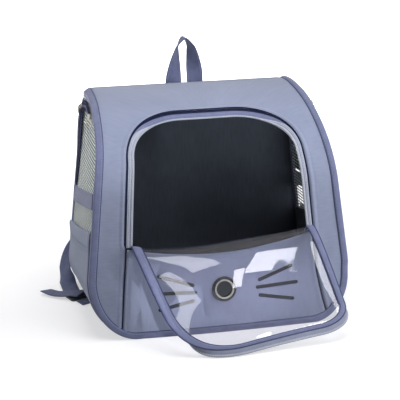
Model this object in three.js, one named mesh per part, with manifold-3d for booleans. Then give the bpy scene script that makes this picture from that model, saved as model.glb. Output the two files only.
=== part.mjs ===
// A pet carrier backpack that stands on its base with its clear door hanging open in front.
// Millimetres, +Z up. The origin is the centre of the base, the door is at -Y and the wearer at +Y.
// Left is -X, as seen by someone who faces the door.
import * as THREE from "three";
import { mergeVertices } from "three/addons/utils/BufferGeometryUtils.js";
import Module from "manifold-3d";

const { degToRad, lerp, smoothstep } = THREE.MathUtils;
const wasm = await Module();
wasm.setup();

// Body
const BASE_WIDTH = 340;
const DEPTH = 204;
const HEIGHT = 273;
const WIDTH_TAPER = 0.18; // share of the width that is lost between the base and the roof
const FRONT_LEAN = degToRad(8.7);
const SHOULDER_Z = 172; // the front is straight up to here and then curves over into the roof
const SHOULDER_PULL = 72; // how far the curve keeps the front's direction, and then the roof's
const ROOF_PULL = 66;
const ROOF_SLOPE = degToRad(-4);
const FRONT_CORNER = { run: 57, rise: 72 }; // rounded lower corners, wider at the front
const BACK_CORNER = { run: 32, rise: 40 };
const TOP_CORNER = 14;
const FRONT_Y = -DEPTH / 2;
const BACK_Y = DEPTH / 2;

// Cloth and gaps
const WALL = 3;
const NET = 2;
const TAPE = 1.5;
const GAP = 0.3; // kept between pieces that touch
const COLUMN_TOP = 190; // where the front surround is parted into two columns and the top

// Lower front panel and its eyelet
const FLOOR_CLEAR = 0.6; // the leaning panel's back edge stays off the floor
const SEAM_LOW = { x: 126.5, s: 7 }; // s is the length along the front from the floor
const SEAM_HIGH = { x: 116.5, s: 113 };
const SILL_END = 114;
const SILL_SAG = 17;
const EYELET = { x: 1, s: 52.6, bore: 10, barrel: 11.6, hole: 12, flange: 15.2 };
const WHISKER_CENTRE = 4;
const WHISKER_WIDTH = 4.4;
const WHISKERS = [
  { row: "upper", inner: { x: 41, s: 60 }, outer: { x: 82, s: 74 } },
  { row: "middle", inner: { x: 38, s: 51 }, outer: { x: 88, s: 53 } },
  { row: "lower", inner: { x: 41, s: 41 }, outer: { x: 82, s: 33 } },
];

// Doorway: its clear edge, and how far the zip tape round it reaches outside that edge
const DOORWAY = { halfLow: 109, low: 115, halfHigh: 101.5, high: 215.5, radius: 68 };
const DOORWAY_TAPE = { side: 9, top: 11.5 };

// Door: a sheet that is hinged at the sill, folds over it and hangs down to the floor
const DOOR = { hingeLeft: -110.5, hingeRight: 114, freeHalf: 106, length: 176 };
const DOOR_RADIUS = { left: 75, right: 40 }; // of the corners of the free edge
const DOOR_FREE_LEFT = [-61, FRONT_Y - 80, -2.4]; // the free edge's corners, before they are rounded
const DOOR_FREE_RIGHT = [143, FRONT_Y - 65.6, 15];
const DOOR_RISE = { left: 20, middle: 64, right: 30 }; // how strongly the fold rises from the hinge
const DOOR_TILT = { left: 65, middle: 83, right: 96 }; // its angle there, in degrees
const DOOR_RUN = { left: 3, middle: 28, right: 31 }; // how long the free edge runs straight
const DOOR_END = { left: 31, middle: 40, right: 52 }; // how steeply it slopes to the floor, in degrees
const DOOR_ZIP = { from: 0, to: 8, thick: 1.6 }; // strips round the edge, measured in from it
const DOOR_BINDING = { from: 8.3, to: 17, thick: 2.6 };
const WINDOW = { from: 17.3, thick: 1 };

// Sides
const POCKET_TOP = { front: 135, back: 92 };
const POCKET_OVER_NET = 6; // how far the pocket stands above the seam of the net
const POCKET_BULGE = 4;
const BAND_LOW = { front: 163, back: 119 };
const BAND_HEIGHT = 20;
const SIDE_ZIP = [
  { y: 88, z: 147, width: 22 },
  { y: 83, z: 190, width: 34 },
  { y: 82, z: 230, width: 36 },
  { y: 75, z: 255, width: 20 },
  { y: 46, z: 259, width: 12 },
  { y: 16, z: 250, width: 12 },
];
const SLIDER = { y: 20, z: 251, length: 11, width: 8, thick: 3 };
const RING = { radius: 4.8, wire: 1 };

// Binding
const BINDING_WIDTH = 7.3;
const BINDING_THICK = 2;
const BINDING_OVERHANG = 1.2; // past the front's edge, except along the floor
const BACK_BINDING = { width: 8, thick: 4 };

// Back, handle and shoulder straps
const BACK_PAD = 9;
const BACK_FACE_Y = BACK_Y + GAP + BACK_PAD;
const YOKE = { half: 84, low: 240, high: 262, thick: 3 }; // holds the straps' and the handle's ends
const HANDLE = { centre: -3.5, legSpread: 14.8, width: 22, foot: 262.4, bend: 300, apex: 333, thick: 2 };
const PAD = { width: 54, endWidth: 40, thick: 8 };
const PAD_ROUTE = [
  { at: [46, BACK_FACE_Y + 5.4, 234], across: [1, 0, 0.1] },
  { at: [50, BACK_FACE_Y + 12, 212], across: [1, 0, 0.2] },
  { at: [66, BACK_FACE_Y + 27, 174], across: [0.95, 0, 0.35] },
  { at: [88, BACK_FACE_Y + 28, 130], across: [0.93, 0, 0.4] },
  { at: [104, BACK_FACE_Y + 17, 94], across: [0.93, 0, 0.4] },
];
const WEBBING = { width: 22, thick: 1.8 };
const WEBBING_ROUTE = [
  { at: [107.6, BACK_FACE_Y + 14.4, 86], across: [0.93, 0, 0.4] },
  { at: [132, BACK_FACE_Y + 13, 68], across: [0.7, 0.35, 0.6] },
  { at: [164, BACK_FACE_Y + 10.5, 44], across: [0.4, 0.75, 0.5] },
  { at: [174.5, BACK_FACE_Y - 1, 23], across: [0.28, 0.9, 0.35] },
  { at: [171, BACK_FACE_Y - 18, 8], across: [0.5, 0.8, 0.3] },
  { at: [174, BACK_FACE_Y - 40, 2], across: [0.95, -0.3, 0] },
  { at: [167.5, 58.4, 1.8], across: [0.92, -0.38, 0] },
];
const LOCK = { centre: [162, 46], turn: degToRad(-22), length: 24, width: 30, thick: 5, slot: 4 };
const TAIL_ROUTE = [
  { at: [159, 38.6, 8], across: [0.92, -0.38, 0] },
  { at: [167, 44, 7.6], across: [0.75, -0.66, 0] },
  { at: [178, 51, 7.2], across: [0.62, -0.78, 0] },
  { at: [190, 60, 5.6], across: [0.58, -0.81, 0] },
  { at: [202, 73, 3], across: [0.62, -0.76, 0.1] },
];
const TAB_ROUTE = [
  { at: [156.4, 33.6, 2], across: [0.92, -0.38, 0] },
  { at: [150, 20, 1.6], across: [0.92, -0.38, 0] },
];

// Finishes
const finish = (color, roughness, metalness = 0) =>
  new THREE.MeshStandardMaterial({ color, roughness, metalness });
const PANEL = finish(0x99a1bd, 0.8);
const BINDING = finish(0x6f76a4, 0.75);
const WEB = finish(0x6a71a0, 0.75);
const NETTING = finish(0xbdc3c0, 0.7);
const DARK_ZIP = finish(0x1b2036, 0.7);
const PRINT = finish(0x2b3040, 0.7);
const NICKEL = finish(0x6d7078, 0.3, 1);
const BLACK_PLASTIC = finish(0x17181d, 0.5);
const CLEAR_PVC = finish(0xe6edf2, 0.08);
CLEAR_PVC.transparent = true;
CLEAR_PVC.opacity = 0.3;

const bag = new THREE.Group();

function add(name, geometry, material, group = bag) {
  const mesh = new THREE.Mesh(geometry, material);
  mesh.name = name;
  group.add(mesh);
  return mesh;
}

// A geometry from points and triangles, turned round if its faces point inwards.
function solidGeometry(points, triangles) {
  const sixfoldVolume = (k) =>
    points[triangles[k]].dot(points[triangles[k + 1]].clone().cross(points[triangles[k + 2]]));
  let volume = 0;
  for (let k = 0; k < triangles.length; k += 3) volume += sixfoldVolume(k);
  const index = volume > 0 ? triangles : [...triangles].reverse();
  return new THREE.BufferGeometry().setFromPoints(points).setIndex(index);
}

// A closed wall between an outer and an inner face. place(u, v, face) gives its points, with u and v
// from 0 to 1 along its edges, and face 0 on the outer face and 1 on the inner one.
function wall(stepsU, stepsV, place) {
  const points = [];
  for (const face of [0, 1])
    for (let i = 0; i <= stepsU; i++)
      for (let j = 0; j <= stepsV; j++) points.push(place(i / stepsU, j / stepsV, face));
  const at = (face, i, j) => (face * (stepsU + 1) + i) * (stepsV + 1) + j;
  const triangles = [];
  const quad = (a, b, c, d) => triangles.push(a, b, c, a, c, d);
  for (let i = 0; i < stepsU; i++)
    for (let j = 0; j < stepsV; j++) {
      quad(at(0, i, j), at(0, i + 1, j), at(0, i + 1, j + 1), at(0, i, j + 1));
      quad(at(1, i, j), at(1, i, j + 1), at(1, i + 1, j + 1), at(1, i + 1, j));
    }
  for (let i = 0; i < stepsU; i++) {
    quad(at(0, i, 0), at(1, i, 0), at(1, i + 1, 0), at(0, i + 1, 0));
    quad(at(0, i, stepsV), at(0, i + 1, stepsV), at(1, i + 1, stepsV), at(1, i, stepsV));
  }
  for (let j = 0; j < stepsV; j++) {
    quad(at(0, 0, j), at(0, 0, j + 1), at(1, 0, j + 1), at(1, 0, j));
    quad(at(0, stepsU, j), at(1, stepsU, j), at(1, stepsU, j + 1), at(0, stepsU, j + 1));
  }
  return solidGeometry(points, triangles);
}

// A flat strap along a route. Each row of the route has its middle and the direction of its width.
function strap(route, steps, widthAt, thick, side = 1) {
  const vector = ([x, y, z]) => new THREE.Vector3(x * side, y, z);
  const middles = new THREE.CatmullRomCurve3(route.map((row) => vector(row.at)));
  const widths = new THREE.CatmullRomCurve3(route.map((row) => vector(row.across)));
  return wall(steps, 1, (u, v, face) => {
    const along = middles.getTangent(u);
    const across = widths.getPoint(u);
    across.addScaledVector(along, -across.dot(along)).normalize();
    const out = along.clone().cross(across);
    return middles
      .getPoint(u)
      .addScaledVector(across, widthAt(u) * (v - 0.5))
      .addScaledVector(out, thick * (0.5 - face));
  });
}

// Joins and cuts work on solids whose shared vertices are merged.
function solidOf(geometry) {
  const bare = geometry.clone().deleteAttribute("normal").deleteAttribute("uv");
  const merged = mergeVertices(bare, 1e-4);
  const vertProperties = merged.attributes.position.array;
  const triVerts = new Uint32Array(merged.index.array);
  return new wasm.Manifold(new wasm.Mesh({ numProp: 3, vertProperties, triVerts }));
}

function cut(geometry, cutter) {
  const mesh = solidOf(geometry).subtract(solidOf(cutter)).getMesh();
  return new THREE.BufferGeometry()
    .setAttribute("position", new THREE.BufferAttribute(mesh.vertProperties, 3))
    .setIndex(new THREE.BufferAttribute(mesh.triVerts, 1));
}

// The front's line in the side view: straight from the floor to the shoulder, then a curve to the back.
const shoulder = new THREE.Vector2(FRONT_Y + SHOULDER_Z * Math.tan(FRONT_LEAN), SHOULDER_Z);
const roofEnd = new THREE.Vector2(BACK_Y, HEIGHT);
const frontWay = new THREE.Vector2(Math.sin(FRONT_LEAN), Math.cos(FRONT_LEAN));
const roofWay = new THREE.Vector2(Math.cos(ROOF_SLOPE), Math.sin(ROOF_SLOPE));
const profile = new THREE.CurvePath();
profile.add(new THREE.LineCurve(new THREE.Vector2(FRONT_Y, 0), shoulder));
profile.add(
  new THREE.CubicBezierCurve(
    shoulder,
    shoulder.clone().addScaledVector(frontWay, SHOULDER_PULL),
    roofEnd.clone().addScaledVector(roofWay, -ROOF_PULL),
    roofEnd,
  ),
);
const FRONT_LENGTH = profile.getLength();

// A point of the front or roof: x across, s along it from the floor, lift out of its outer face.
function front(x, s, lift) {
  const share = Math.min(s / FRONT_LENGTH, 1);
  const point = profile.getPoint(share);
  const along = profile.getTangent(share);
  return new THREE.Vector3(x, point.x - lift * along.y, point.y + lift * along.x);
}

const straightHalf = (z) => (BASE_WIDTH / 2) * (1 - (WIDTH_TAPER * z) / HEIGHT);

// The elliptical lower corner, where toBack is 0 at the front and 1 at the back.
function lowerCorner(toBack) {
  const run = lerp(FRONT_CORNER.run, BACK_CORNER.run, toBack);
  const rise = lerp(FRONT_CORNER.rise, BACK_CORNER.rise, toBack);
  return { run, rise, middle: straightHalf(rise) - run };
}

function halfWidth(z, toBack) {
  const { run, rise, middle } = lowerCorner(toBack);
  if (z >= rise) return straightHalf(z);
  return middle + run * Math.sqrt(1 - (1 - z / rise) ** 2);
}

const frontHalf = (s) => halfWidth(front(0, s, 0).z, 0);

// Where the walls behind the straight front begin, and heights that slope from front to back.
const wallStart = (z) => FRONT_Y + z * Math.tan(FRONT_LEAN) + (WALL + GAP) / Math.cos(FRONT_LEAN);
const slanted = (ends, y) => lerp(ends.front, ends.back, (y - FRONT_Y) / DEPTH);

// The doorway's edge from the lower left over the top to the lower right. band 0 is its clear edge and
// band 1 the outer edge of the zip tape.
const DOORWAY_SIDE_SHARE = 0.3;
const DOORWAY_ARC_SHARE = 0.16;
function doorway(t, band) {
  const half = t < 0.5 ? -1 : 1;
  const share = 1 - Math.abs(2 * t - 1);
  const high = DOORWAY.halfHigh + DOORWAY_TAPE.side * band;
  const low = DOORWAY.halfLow + DOORWAY_TAPE.side * band;
  const middle = DOORWAY.halfHigh - DOORWAY.radius;
  const arcStart = 2 * DOORWAY_SIDE_SHARE;
  const arcEnd = arcStart + 2 * DOORWAY_ARC_SHARE;
  const top = DOORWAY.high + DOORWAY.radius + DOORWAY_TAPE.top * band;
  if (share < arcStart) {
    const up = share / arcStart;
    return { x: half * lerp(low, high, up), s: lerp(DOORWAY.low, DOORWAY.high, up) };
  }
  if (share < arcEnd) {
    const turn = ((share - arcStart) / (arcEnd - arcStart)) * (Math.PI / 2);
    const x = middle + (high - middle) * Math.cos(turn);
    return { x: half * x, s: DOORWAY.high + (top - DOORWAY.high) * Math.sin(turn) };
  }
  return { x: half * middle * ((1 - share) / (1 - arcEnd)), s: top };
}

// The whole front and roof as one skin, cut away for the doorway and the lower panel.
function frontSkin() {
  const cornerSteps = 9;
  const restSteps = 44;
  const cornerS = FRONT_CORNER.rise / Math.cos(FRONT_LEAN);
  const rowAt = (v) => {
    const row = Math.round(v * (cornerSteps + restSteps));
    if (row > cornerSteps) return lerp(cornerS, FRONT_LENGTH, (row - cornerSteps) / restSteps);
    return cornerS * (1 - Math.cos(((row / cornerSteps) * Math.PI) / 2));
  };
  const skin = wall(1, cornerSteps + restSteps, (u, v, face) => {
    const s = rowAt(v);
    return front(lerp(-1, 1, u) * frontHalf(s), s, -WALL * face);
  });
  const below = -8; // the cutter starts under the floor
  const seamSlope = (SEAM_HIGH.x - SEAM_LOW.x) / (SEAM_HIGH.s - SEAM_LOW.s);
  const seamFoot = SEAM_LOW.x + seamSlope * (below - SEAM_LOW.s);
  const heightAt = (s) => front(0, s, 0).z;
  const outline = [new THREE.Vector2(-seamFoot, below)];
  outline.push(new THREE.Vector2(-SEAM_HIGH.x, heightAt(SEAM_HIGH.s)));
  const edgeSteps = 40;
  for (let k = 0; k <= edgeSteps; k++) {
    const { x, s } = doorway(k / edgeSteps, 0);
    outline.push(new THREE.Vector2(x, heightAt(s)));
  }
  outline.push(new THREE.Vector2(SEAM_HIGH.x, heightAt(SEAM_HIGH.s)));
  outline.push(new THREE.Vector2(seamFoot, below));
  const reach = { from: 0, depth: 140 }; // from inside the cabin out past the front
  const cutter = new THREE.ExtrudeGeometry(new THREE.Shape(outline), {
    depth: reach.depth,
    bevelEnabled: false,
  });
  cutter.rotateX(Math.PI / 2).translate(0, reach.from, 0);
  return cut(skin, cutter);
}

// The skin is parted level into simple forms that collide closely: two columns and the arch with the roof.
const surround = frontSkin();
const reachPast = 400; // longer than the bag, so that a cutter reaches past all its edges

function frontColumn(side) {
  const above = new THREE.BoxGeometry(2 * reachPast, 2 * reachPast, reachPast);
  above.translate(0, 0, COLUMN_TOP - GAP / 2 + reachPast / 2);
  const otherSide = new THREE.BoxGeometry(reachPast, 2 * reachPast, 2 * reachPast);
  otherSide.translate((-side * reachPast) / 2, 0, 0);
  return cut(cut(surround, above), otherSide);
}

function frontTop() {
  const below = new THREE.BoxGeometry(2 * reachPast, 2 * reachPast, reachPast);
  below.translate(0, 0, COLUMN_TOP + GAP / 2 - reachPast / 2);
  return cut(surround, below);
}

// Everything on the straight front sits in a group whose x, y and z are x, s and lift.
const frontPlane = new THREE.Group();
frontPlane.position.set(0, FRONT_Y, 0);
frontPlane.rotation.x = Math.PI / 2 - FRONT_LEAN;
bag.add(frontPlane);

function frontLowerPanel() {
  const { run, rise, middle } = lowerCorner(0);
  const riseS = rise / Math.cos(FRONT_LEAN);
  const foot = SEAM_LOW.x - GAP;
  const head = SEAM_HIGH.x - GAP;
  const meets = Math.acos((foot - middle) / run); // where the seam meets the rounded corner
  const shape = new THREE.Shape();
  const drop = riseS - FLOOR_CLEAR;
  const sillEnd = SEAM_HIGH.s - 2 * GAP;
  shape.absellipse(-middle, riseS, run, drop, -Math.PI + meets, -Math.PI / 2, false);
  shape.absellipse(middle, riseS, run, drop, -Math.PI / 2, -meets, false);
  shape.lineTo(head, sillEnd);
  shape.quadraticCurveTo(0, 2 * (SILL_END - SILL_SAG) - sillEnd, -head, sillEnd);
  shape.closePath();
  const hole = new THREE.Path().absarc(EYELET.x, EYELET.s, EYELET.hole, 0, 2 * Math.PI, true);
  shape.holes.push(hole);
  const panel = { depth: WALL, bevelEnabled: false, curveSegments: 12 };
  return new THREE.ExtrudeGeometry(shape, panel).translate(0, 0, -WALL);
}

// Eyelet: a barrel through the panel with a rolled flange in front and a washer behind.
function eyelet() {
  const { bore, barrel, flange } = EYELET;
  const behind = -WALL - GAP;
  const section = [
    [bore, behind - 1.2],
    [flange, behind - 1.2],
    [flange, behind],
    [barrel, behind],
    [barrel, GAP],
    [flange, GAP],
    [flange, 1.4],
    [(flange + bore) / 2, 2.4],
    [bore, 1.2],
    [bore, behind - 1.2],
  ];
  const points = section.map(([r, h]) => new THREE.Vector2(r, h));
  return new THREE.LatheGeometry(points, 24).rotateX(Math.PI / 2).translate(EYELET.x, EYELET.s, 0);
}

// A stroke with round ends, printed on the panel.
function whisker(side, { inner, outer }) {
  const from = new THREE.Vector2(WHISKER_CENTRE + side * inner.x, inner.s);
  const to = new THREE.Vector2(WHISKER_CENTRE + side * outer.x, outer.s);
  const turn = to.clone().sub(from).angle();
  const quarter = Math.PI / 2;
  const shape = new THREE.Shape();
  shape.absarc(to.x, to.y, WHISKER_WIDTH / 2, turn - quarter, turn + quarter, false);
  shape.absarc(from.x, from.y, WHISKER_WIDTH / 2, turn + quarter, turn + 3 * quarter, false);
  const ink = { depth: 0.5, bevelEnabled: false, curveSegments: 4 };
  return new THREE.ExtrudeGeometry(shape, ink).translate(0, 0, GAP);
}

// A point of the lower side: t 0 is where the base ends, CORNER_SHARE the top of the rounded corner
// and 1 the height top. lift is out of its outer face.
const CORNER_SHARE = 0.6;
function lowerSide(side, t, y, top, lift) {
  const { run, rise, middle } = lowerCorner((y - FRONT_Y) / DEPTH);
  if (t < CORNER_SHARE) {
    const turn = ((t / CORNER_SHARE) * Math.PI) / 2;
    const out = new THREE.Vector2(Math.sin(turn) / run, -Math.cos(turn) / rise).normalize();
    const x = middle + run * Math.sin(turn) + out.x * lift;
    return new THREE.Vector3(side * x, y, rise * (1 - Math.cos(turn)) + out.y * lift);
  }
  const z = lerp(rise, top, (t - CORNER_SHARE) / (1 - CORNER_SHARE));
  return new THREE.Vector3(side * (straightHalf(z) + lift), y, z);
}

const netSeam = (y) => slanted(POCKET_TOP, y) - POCKET_OVER_NET;

function lowerSideWall(side) {
  return wall(14, 4, (u, v, face) => {
    const start = wallStart(lowerSide(side, u, FRONT_Y, netSeam(FRONT_Y), 0).z + WALL);
    const y = lerp(start, BACK_Y, v);
    const point = lowerSide(side, u, y, netSeam(y), -WALL * face);
    if (u === 0) point.x += side * GAP;
    return point;
  });
}

function basePanel() {
  return wall(1, 1, (u, v, face) => {
    const y = lerp(wallStart(WALL), BACK_Y, v);
    const half = lowerCorner((y - FRONT_Y) / DEPTH).middle;
    return new THREE.Vector3(lerp(-half, half, u), y, WALL * face);
  });
}

// Net window: a flat wall from the slanted seam up to the front's and the roof's inner face.
function sideNet(side) {
  const startS = (netSeam(FRONT_Y) + 2) / Math.cos(FRONT_LEAN);
  return wall(24, 1, (u, v, face) => {
    const above = front(0, lerp(startS, FRONT_LENGTH, u), -WALL - GAP);
    const y = lerp(front(0, startS, -WALL - GAP).y, BACK_Y, u);
    const z = lerp(netSeam(y) + GAP, above.z, v);
    return new THREE.Vector3(side * (straightHalf(z) - NET * face), lerp(y, above.y, v), z);
  });
}

// Pocket: a second layer over the lower side that stands a little away from it in the middle.
function pocket(side) {
  const margin = { front: 8, back: 4 };
  const lowest = 0.3; // it ends half way round the lower corner
  return wall(12, 8, (u, v, face) => {
    const t = lerp(lowest, 1, u);
    const frontZ = lowerSide(side, t, FRONT_Y, POCKET_TOP.front, 0).z;
    const y = lerp(wallStart(frontZ) + margin.front, BACK_Y - margin.back, v);
    const swell = POCKET_BULGE * Math.sin(Math.PI * v) * smoothstep(t, lowest, 1);
    return lowerSide(side, t, y, slanted(POCKET_TOP, y), GAP + swell + TAPE * (1 - face));
  });
}

function sideBand(side) {
  return wall(2, 1, (u, v, face) => {
    const rough = slanted(BAND_LOW, lerp(FRONT_Y, BACK_Y, u)) + BAND_HEIGHT * v;
    const y = lerp(wallStart(rough) + 1, BACK_Y, u);
    const z = slanted(BAND_LOW, y) + BAND_HEIGHT * v;
    return new THREE.Vector3(side * (straightHalf(z) + GAP + TAPE * (1 - face)), y, z);
  });
}

// Zip beside the net: a tape up the rear edge and forward under the roof.
function sideZip(side) {
  const middles = new THREE.SplineCurve(SIDE_ZIP.map((row) => new THREE.Vector2(row.y, row.z)));
  const widths = new THREE.SplineCurve(SIDE_ZIP.map((row) => new THREE.Vector2(row.width, 0)));
  return wall(20, 1, (u, v, face) => {
    const along = middles.getTangent(u);
    const reach = widths.getPoint(u).x * (v - 0.5);
    const point = middles.getPoint(u).add(new THREE.Vector2(-along.y, along.x).multiplyScalar(reach));
    const x = straightHalf(point.y) + GAP + TAPE * (1 - face);
    return new THREE.Vector3(side * x, point.x, point.y);
  });
}

function zipSlider(side) {
  const { length, width, thick } = SLIDER;
  const shape = new THREE.Shape();
  shape.absarc(length / 2 - width / 2, 0, width / 2, -Math.PI / 2, Math.PI / 2, false);
  shape.lineTo(-length / 2, width / 2.6);
  shape.lineTo(-length / 2, -width / 2.6);
  const body = new THREE.ExtrudeGeometry(shape, { depth: thick, bevelEnabled: false, curveSegments: 6 });
  return body.rotateX(Math.PI / 2).rotateZ((side * Math.PI) / 2);
}

// The front's edge in x and s, from the roof's left end down, along the floor and up to the right.
const EDGE_FLOOR = 0.2;
const EDGE_CORNER = 0.45;
function frontEdge(t) {
  const half = Math.sign(t) || 1;
  const share = Math.abs(t);
  const { run, rise, middle } = lowerCorner(0);
  const riseS = rise / Math.cos(FRONT_LEAN);
  if (share < EDGE_FLOOR) return new THREE.Vector2((half * middle * share) / EDGE_FLOOR, 0);
  if (share < EDGE_CORNER) {
    const turn = ((share - EDGE_FLOOR) / (EDGE_CORNER - EDGE_FLOOR)) * (Math.PI / 2);
    return new THREE.Vector2(half * (middle + run * Math.sin(turn)), riseS * (1 - Math.cos(turn)));
  }
  const s = lerp(riseS, FRONT_LENGTH, (share - EDGE_CORNER) / (1 - EDGE_CORNER));
  return new THREE.Vector2(half * frontHalf(s), s);
}

function frontBinding() {
  const step = 0.002;
  return wall(84, 1, (u, v, face) => {
    const t = lerp(-1, 1, u);
    const before = frontEdge(Math.max(t - step, -1));
    const along = frontEdge(Math.min(t + step, 1)).sub(before).normalize();
    const overhang = BINDING_OVERHANG * smoothstep(Math.abs(t), EDGE_FLOOR, EDGE_CORNER);
    const reach = lerp(-overhang, BINDING_WIDTH, v);
    const { x, y: s } = frontEdge(t).add(new THREE.Vector2(-along.y, along.x).multiplyScalar(reach));
    return front(x, Math.max(s, 0), GAP + BINDING_THICK * (1 - face));
  });
}

// The back's outline in x and z, drawn in from the bag's edge by inset.
function backOutline(inset, Kind) {
  const { run, rise, middle } = lowerCorner(1);
  const round = Math.max(TOP_CORNER - inset, 4);
  const top = HEIGHT - inset;
  const topMiddle = straightHalf(top - round) - inset - round;
  const outline = new Kind();
  outline.absellipse(middle, rise, run - inset, rise - inset, -Math.PI / 2, 0, false);
  outline.absarc(topMiddle, top - round, round, 0, Math.PI / 2, false);
  outline.absarc(-topMiddle, top - round, round, Math.PI / 2, Math.PI, false);
  outline.absellipse(-middle, rise, run - inset, rise - inset, Math.PI, 1.5 * Math.PI, false);
  outline.closePath();
  return outline;
}

// A plate in x and z that stands out from the back by depth.
function onBack(shape, depth) {
  const plate = new THREE.ExtrudeGeometry(shape, { depth, bevelEnabled: false, curveSegments: 8 });
  return plate.rotateX(Math.PI / 2).translate(0, BACK_Y + GAP + depth, 0);
}

// Yoke: a strip sewn across the back, over the straps' tops and under the handle's feet.
function backYoke() {
  return wall(1, 1, (u, v, face) => {
    const y = BACK_FACE_Y + GAP + YOKE.thick * (1 - face);
    return new THREE.Vector3(lerp(-YOKE.half, YOKE.half, u), y, lerp(YOKE.low, YOKE.high, v));
  });
}

function backBinding() {
  const ring = backOutline(0, THREE.Shape);
  ring.holes.push(backOutline(BACK_BINDING.width - GAP, THREE.Path));
  return onBack(ring, BACK_BINDING.thick);
}

function doorwayTape() {
  return wall(56, 2, (u, v, face) => {
    const { x, s } = doorway(u, v);
    return front(x, s, GAP + TAPE * (1 - face));
  });
}

// A value that passes through the door's left, middle and right settings.
function acrossDoor({ left, middle, right }, share) {
  const low = (1 - share) * (1 - 2 * share);
  const high = share * (2 * share - 1);
  return left * low + 4 * middle * share * (1 - share) + right * high;
}

// A point of the door's middle surface, u from -1 to 1 along the hinge and v from 0 at it to 1 at the
// free edge: for each u a curve that rises from the sill, folds over and slopes to the floor.
function doorMiddle(u, v) {
  const share = (u + 1) / 2;
  const clear = 2 * GAP + TAPE + DOOR_BINDING.thick / 2; // over the tape round the doorway
  const hingeX = lerp(DOOR.hingeLeft, DOOR.hingeRight, share);
  const hinge = front(hingeX, SILL_END - SILL_SAG * (1 - u * u) + 1, clear);
  const free = new THREE.Vector3(...DOOR_FREE_LEFT).lerp(new THREE.Vector3(...DOOR_FREE_RIGHT), share);
  const tilt = degToRad(acrossDoor(DOOR_TILT, share));
  const rising = new THREE.Vector3(0, -Math.cos(tilt), Math.sin(tilt));
  const shift = (free.x - hinge.x) / free.distanceTo(hinge);
  const slope = degToRad(acrossDoor(DOOR_END, share));
  const ending = new THREE.Vector3(shift, -Math.cos(slope), -Math.sin(slope)).normalize();
  const fold = hinge.clone().addScaledVector(rising, acrossDoor(DOOR_RISE, share));
  const run = free.clone().addScaledVector(ending, -acrossDoor(DOOR_RUN, share));
  return new THREE.CubicBezierCurve3(hinge, fold, run, free).getPoint(v);
}

// The same point lifted square to the sheet.
function door(u, v, lift) {
  const step = 0.004;
  const across = doorMiddle(u + step, v).sub(doorMiddle(u - step, v));
  const along = doorMiddle(u, Math.min(v + step, 1)).sub(doorMiddle(u, Math.max(v - step, 0)));
  const out = along.cross(across).normalize();
  return doorMiddle(u, v).addScaledVector(out, lift);
}

// The door's edge drawn in by inset, t from 0 at the left of the hinge, round the free edge, to 1.
const DOOR_SIDE_SHARE = 0.3;
const DOOR_ARC_SHARE = 0.14;
function doorEdge(t, inset) {
  const half = t < 0.5 ? -1 : 1;
  const share = (1 - Math.abs(2 * t - 1)) / 2;
  const radius = half < 0 ? DOOR_RADIUS.left : DOOR_RADIUS.right;
  const middle = { u: 1 - radius / DOOR.freeHalf, v: 1 - radius / DOOR.length };
  const reach = { u: (radius - inset) / DOOR.freeHalf, v: (radius - inset) / DOOR.length };
  if (share < DOOR_SIDE_SHARE)
    return { u: half * (middle.u + reach.u), v: (middle.v * share) / DOOR_SIDE_SHARE };
  if (share < DOOR_SIDE_SHARE + DOOR_ARC_SHARE) {
    const turn = ((share - DOOR_SIDE_SHARE) / DOOR_ARC_SHARE) * (Math.PI / 2);
    const u = middle.u + reach.u * Math.cos(turn);
    return { u: half * u, v: middle.v + reach.v * Math.sin(turn) };
  }
  const left = (0.5 - share) / (0.5 - DOOR_SIDE_SHARE - DOOR_ARC_SHARE);
  return { u: half * middle.u * left, v: middle.v + reach.v };
}

function doorStrip({ from, to, thick }) {
  return wall(64, 1, (t, w, face) => {
    const { u, v } = doorEdge(t, lerp(from, to, w));
    return door(u, v, thick * (0.5 - face));
  });
}

// The window fills the binding: rows across the door that get shorter between the rounded corners and
// lie closer together towards the free edge.
function doorWindow() {
  const halfAt = (radius, v) => {
    const down = (v - 1) * DOOR.length + radius;
    const across = Math.sqrt(Math.max((radius - WINDOW.from) ** 2 - Math.max(down, 0) ** 2, 0));
    return 1 - (radius - across) / DOOR.freeHalf;
  };
  const lastV = 1 - WINDOW.from / DOOR.length;
  return wall(14, 22, (a, b, face) => {
    const v = lastV * Math.sin((b * Math.PI) / 2);
    const u = lerp(-halfAt(DOOR_RADIUS.left, v), halfAt(DOOR_RADIUS.right, v), a);
    return door(u, v, WINDOW.thick * (0.5 - face));
  });
}

// Handle: two legs flat on the back that turn a quarter each and meet in a loop over the roof.
function handleLoop() {
  const { centre, legSpread, foot, bend, apex, thick, width } = HANDLE;
  const y = BACK_FACE_Y + GAP + thick / 2;
  const row = (across, z) => new THREE.Vector3(centre + across, y, z);
  const middles = new THREE.CatmullRomCurve3([
    row(-legSpread, foot),
    row(-legSpread, lerp(foot, bend, 0.5)),
    row(-legSpread * 0.86, bend),
    row(-legSpread * 0.45, lerp(bend, apex, 0.8)),
    row(0, apex),
    row(legSpread * 0.45, lerp(bend, apex, 0.8)),
    row(legSpread * 0.86, bend),
    row(legSpread, lerp(foot, bend, 0.5)),
    row(legSpread, foot),
  ]);
  return wall(40, 1, (u, v, face) => {
    const along = middles.getTangent(u);
    const turned = smoothstep(u, 0.24, 0.5) + smoothstep(u, 0.5, 0.76);
    const turn = (turned * Math.PI) / 2;
    const across = new THREE.Vector3(Math.cos(turn), Math.sin(turn), 0);
    across.addScaledVector(along, -across.dot(along)).normalize();
    const out = along.clone().cross(across);
    return middles
      .getPoint(u)
      .addScaledVector(across, width * (v - 0.5))
      .addScaledVector(out, thick * (0.5 - face));
  });
}

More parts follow.
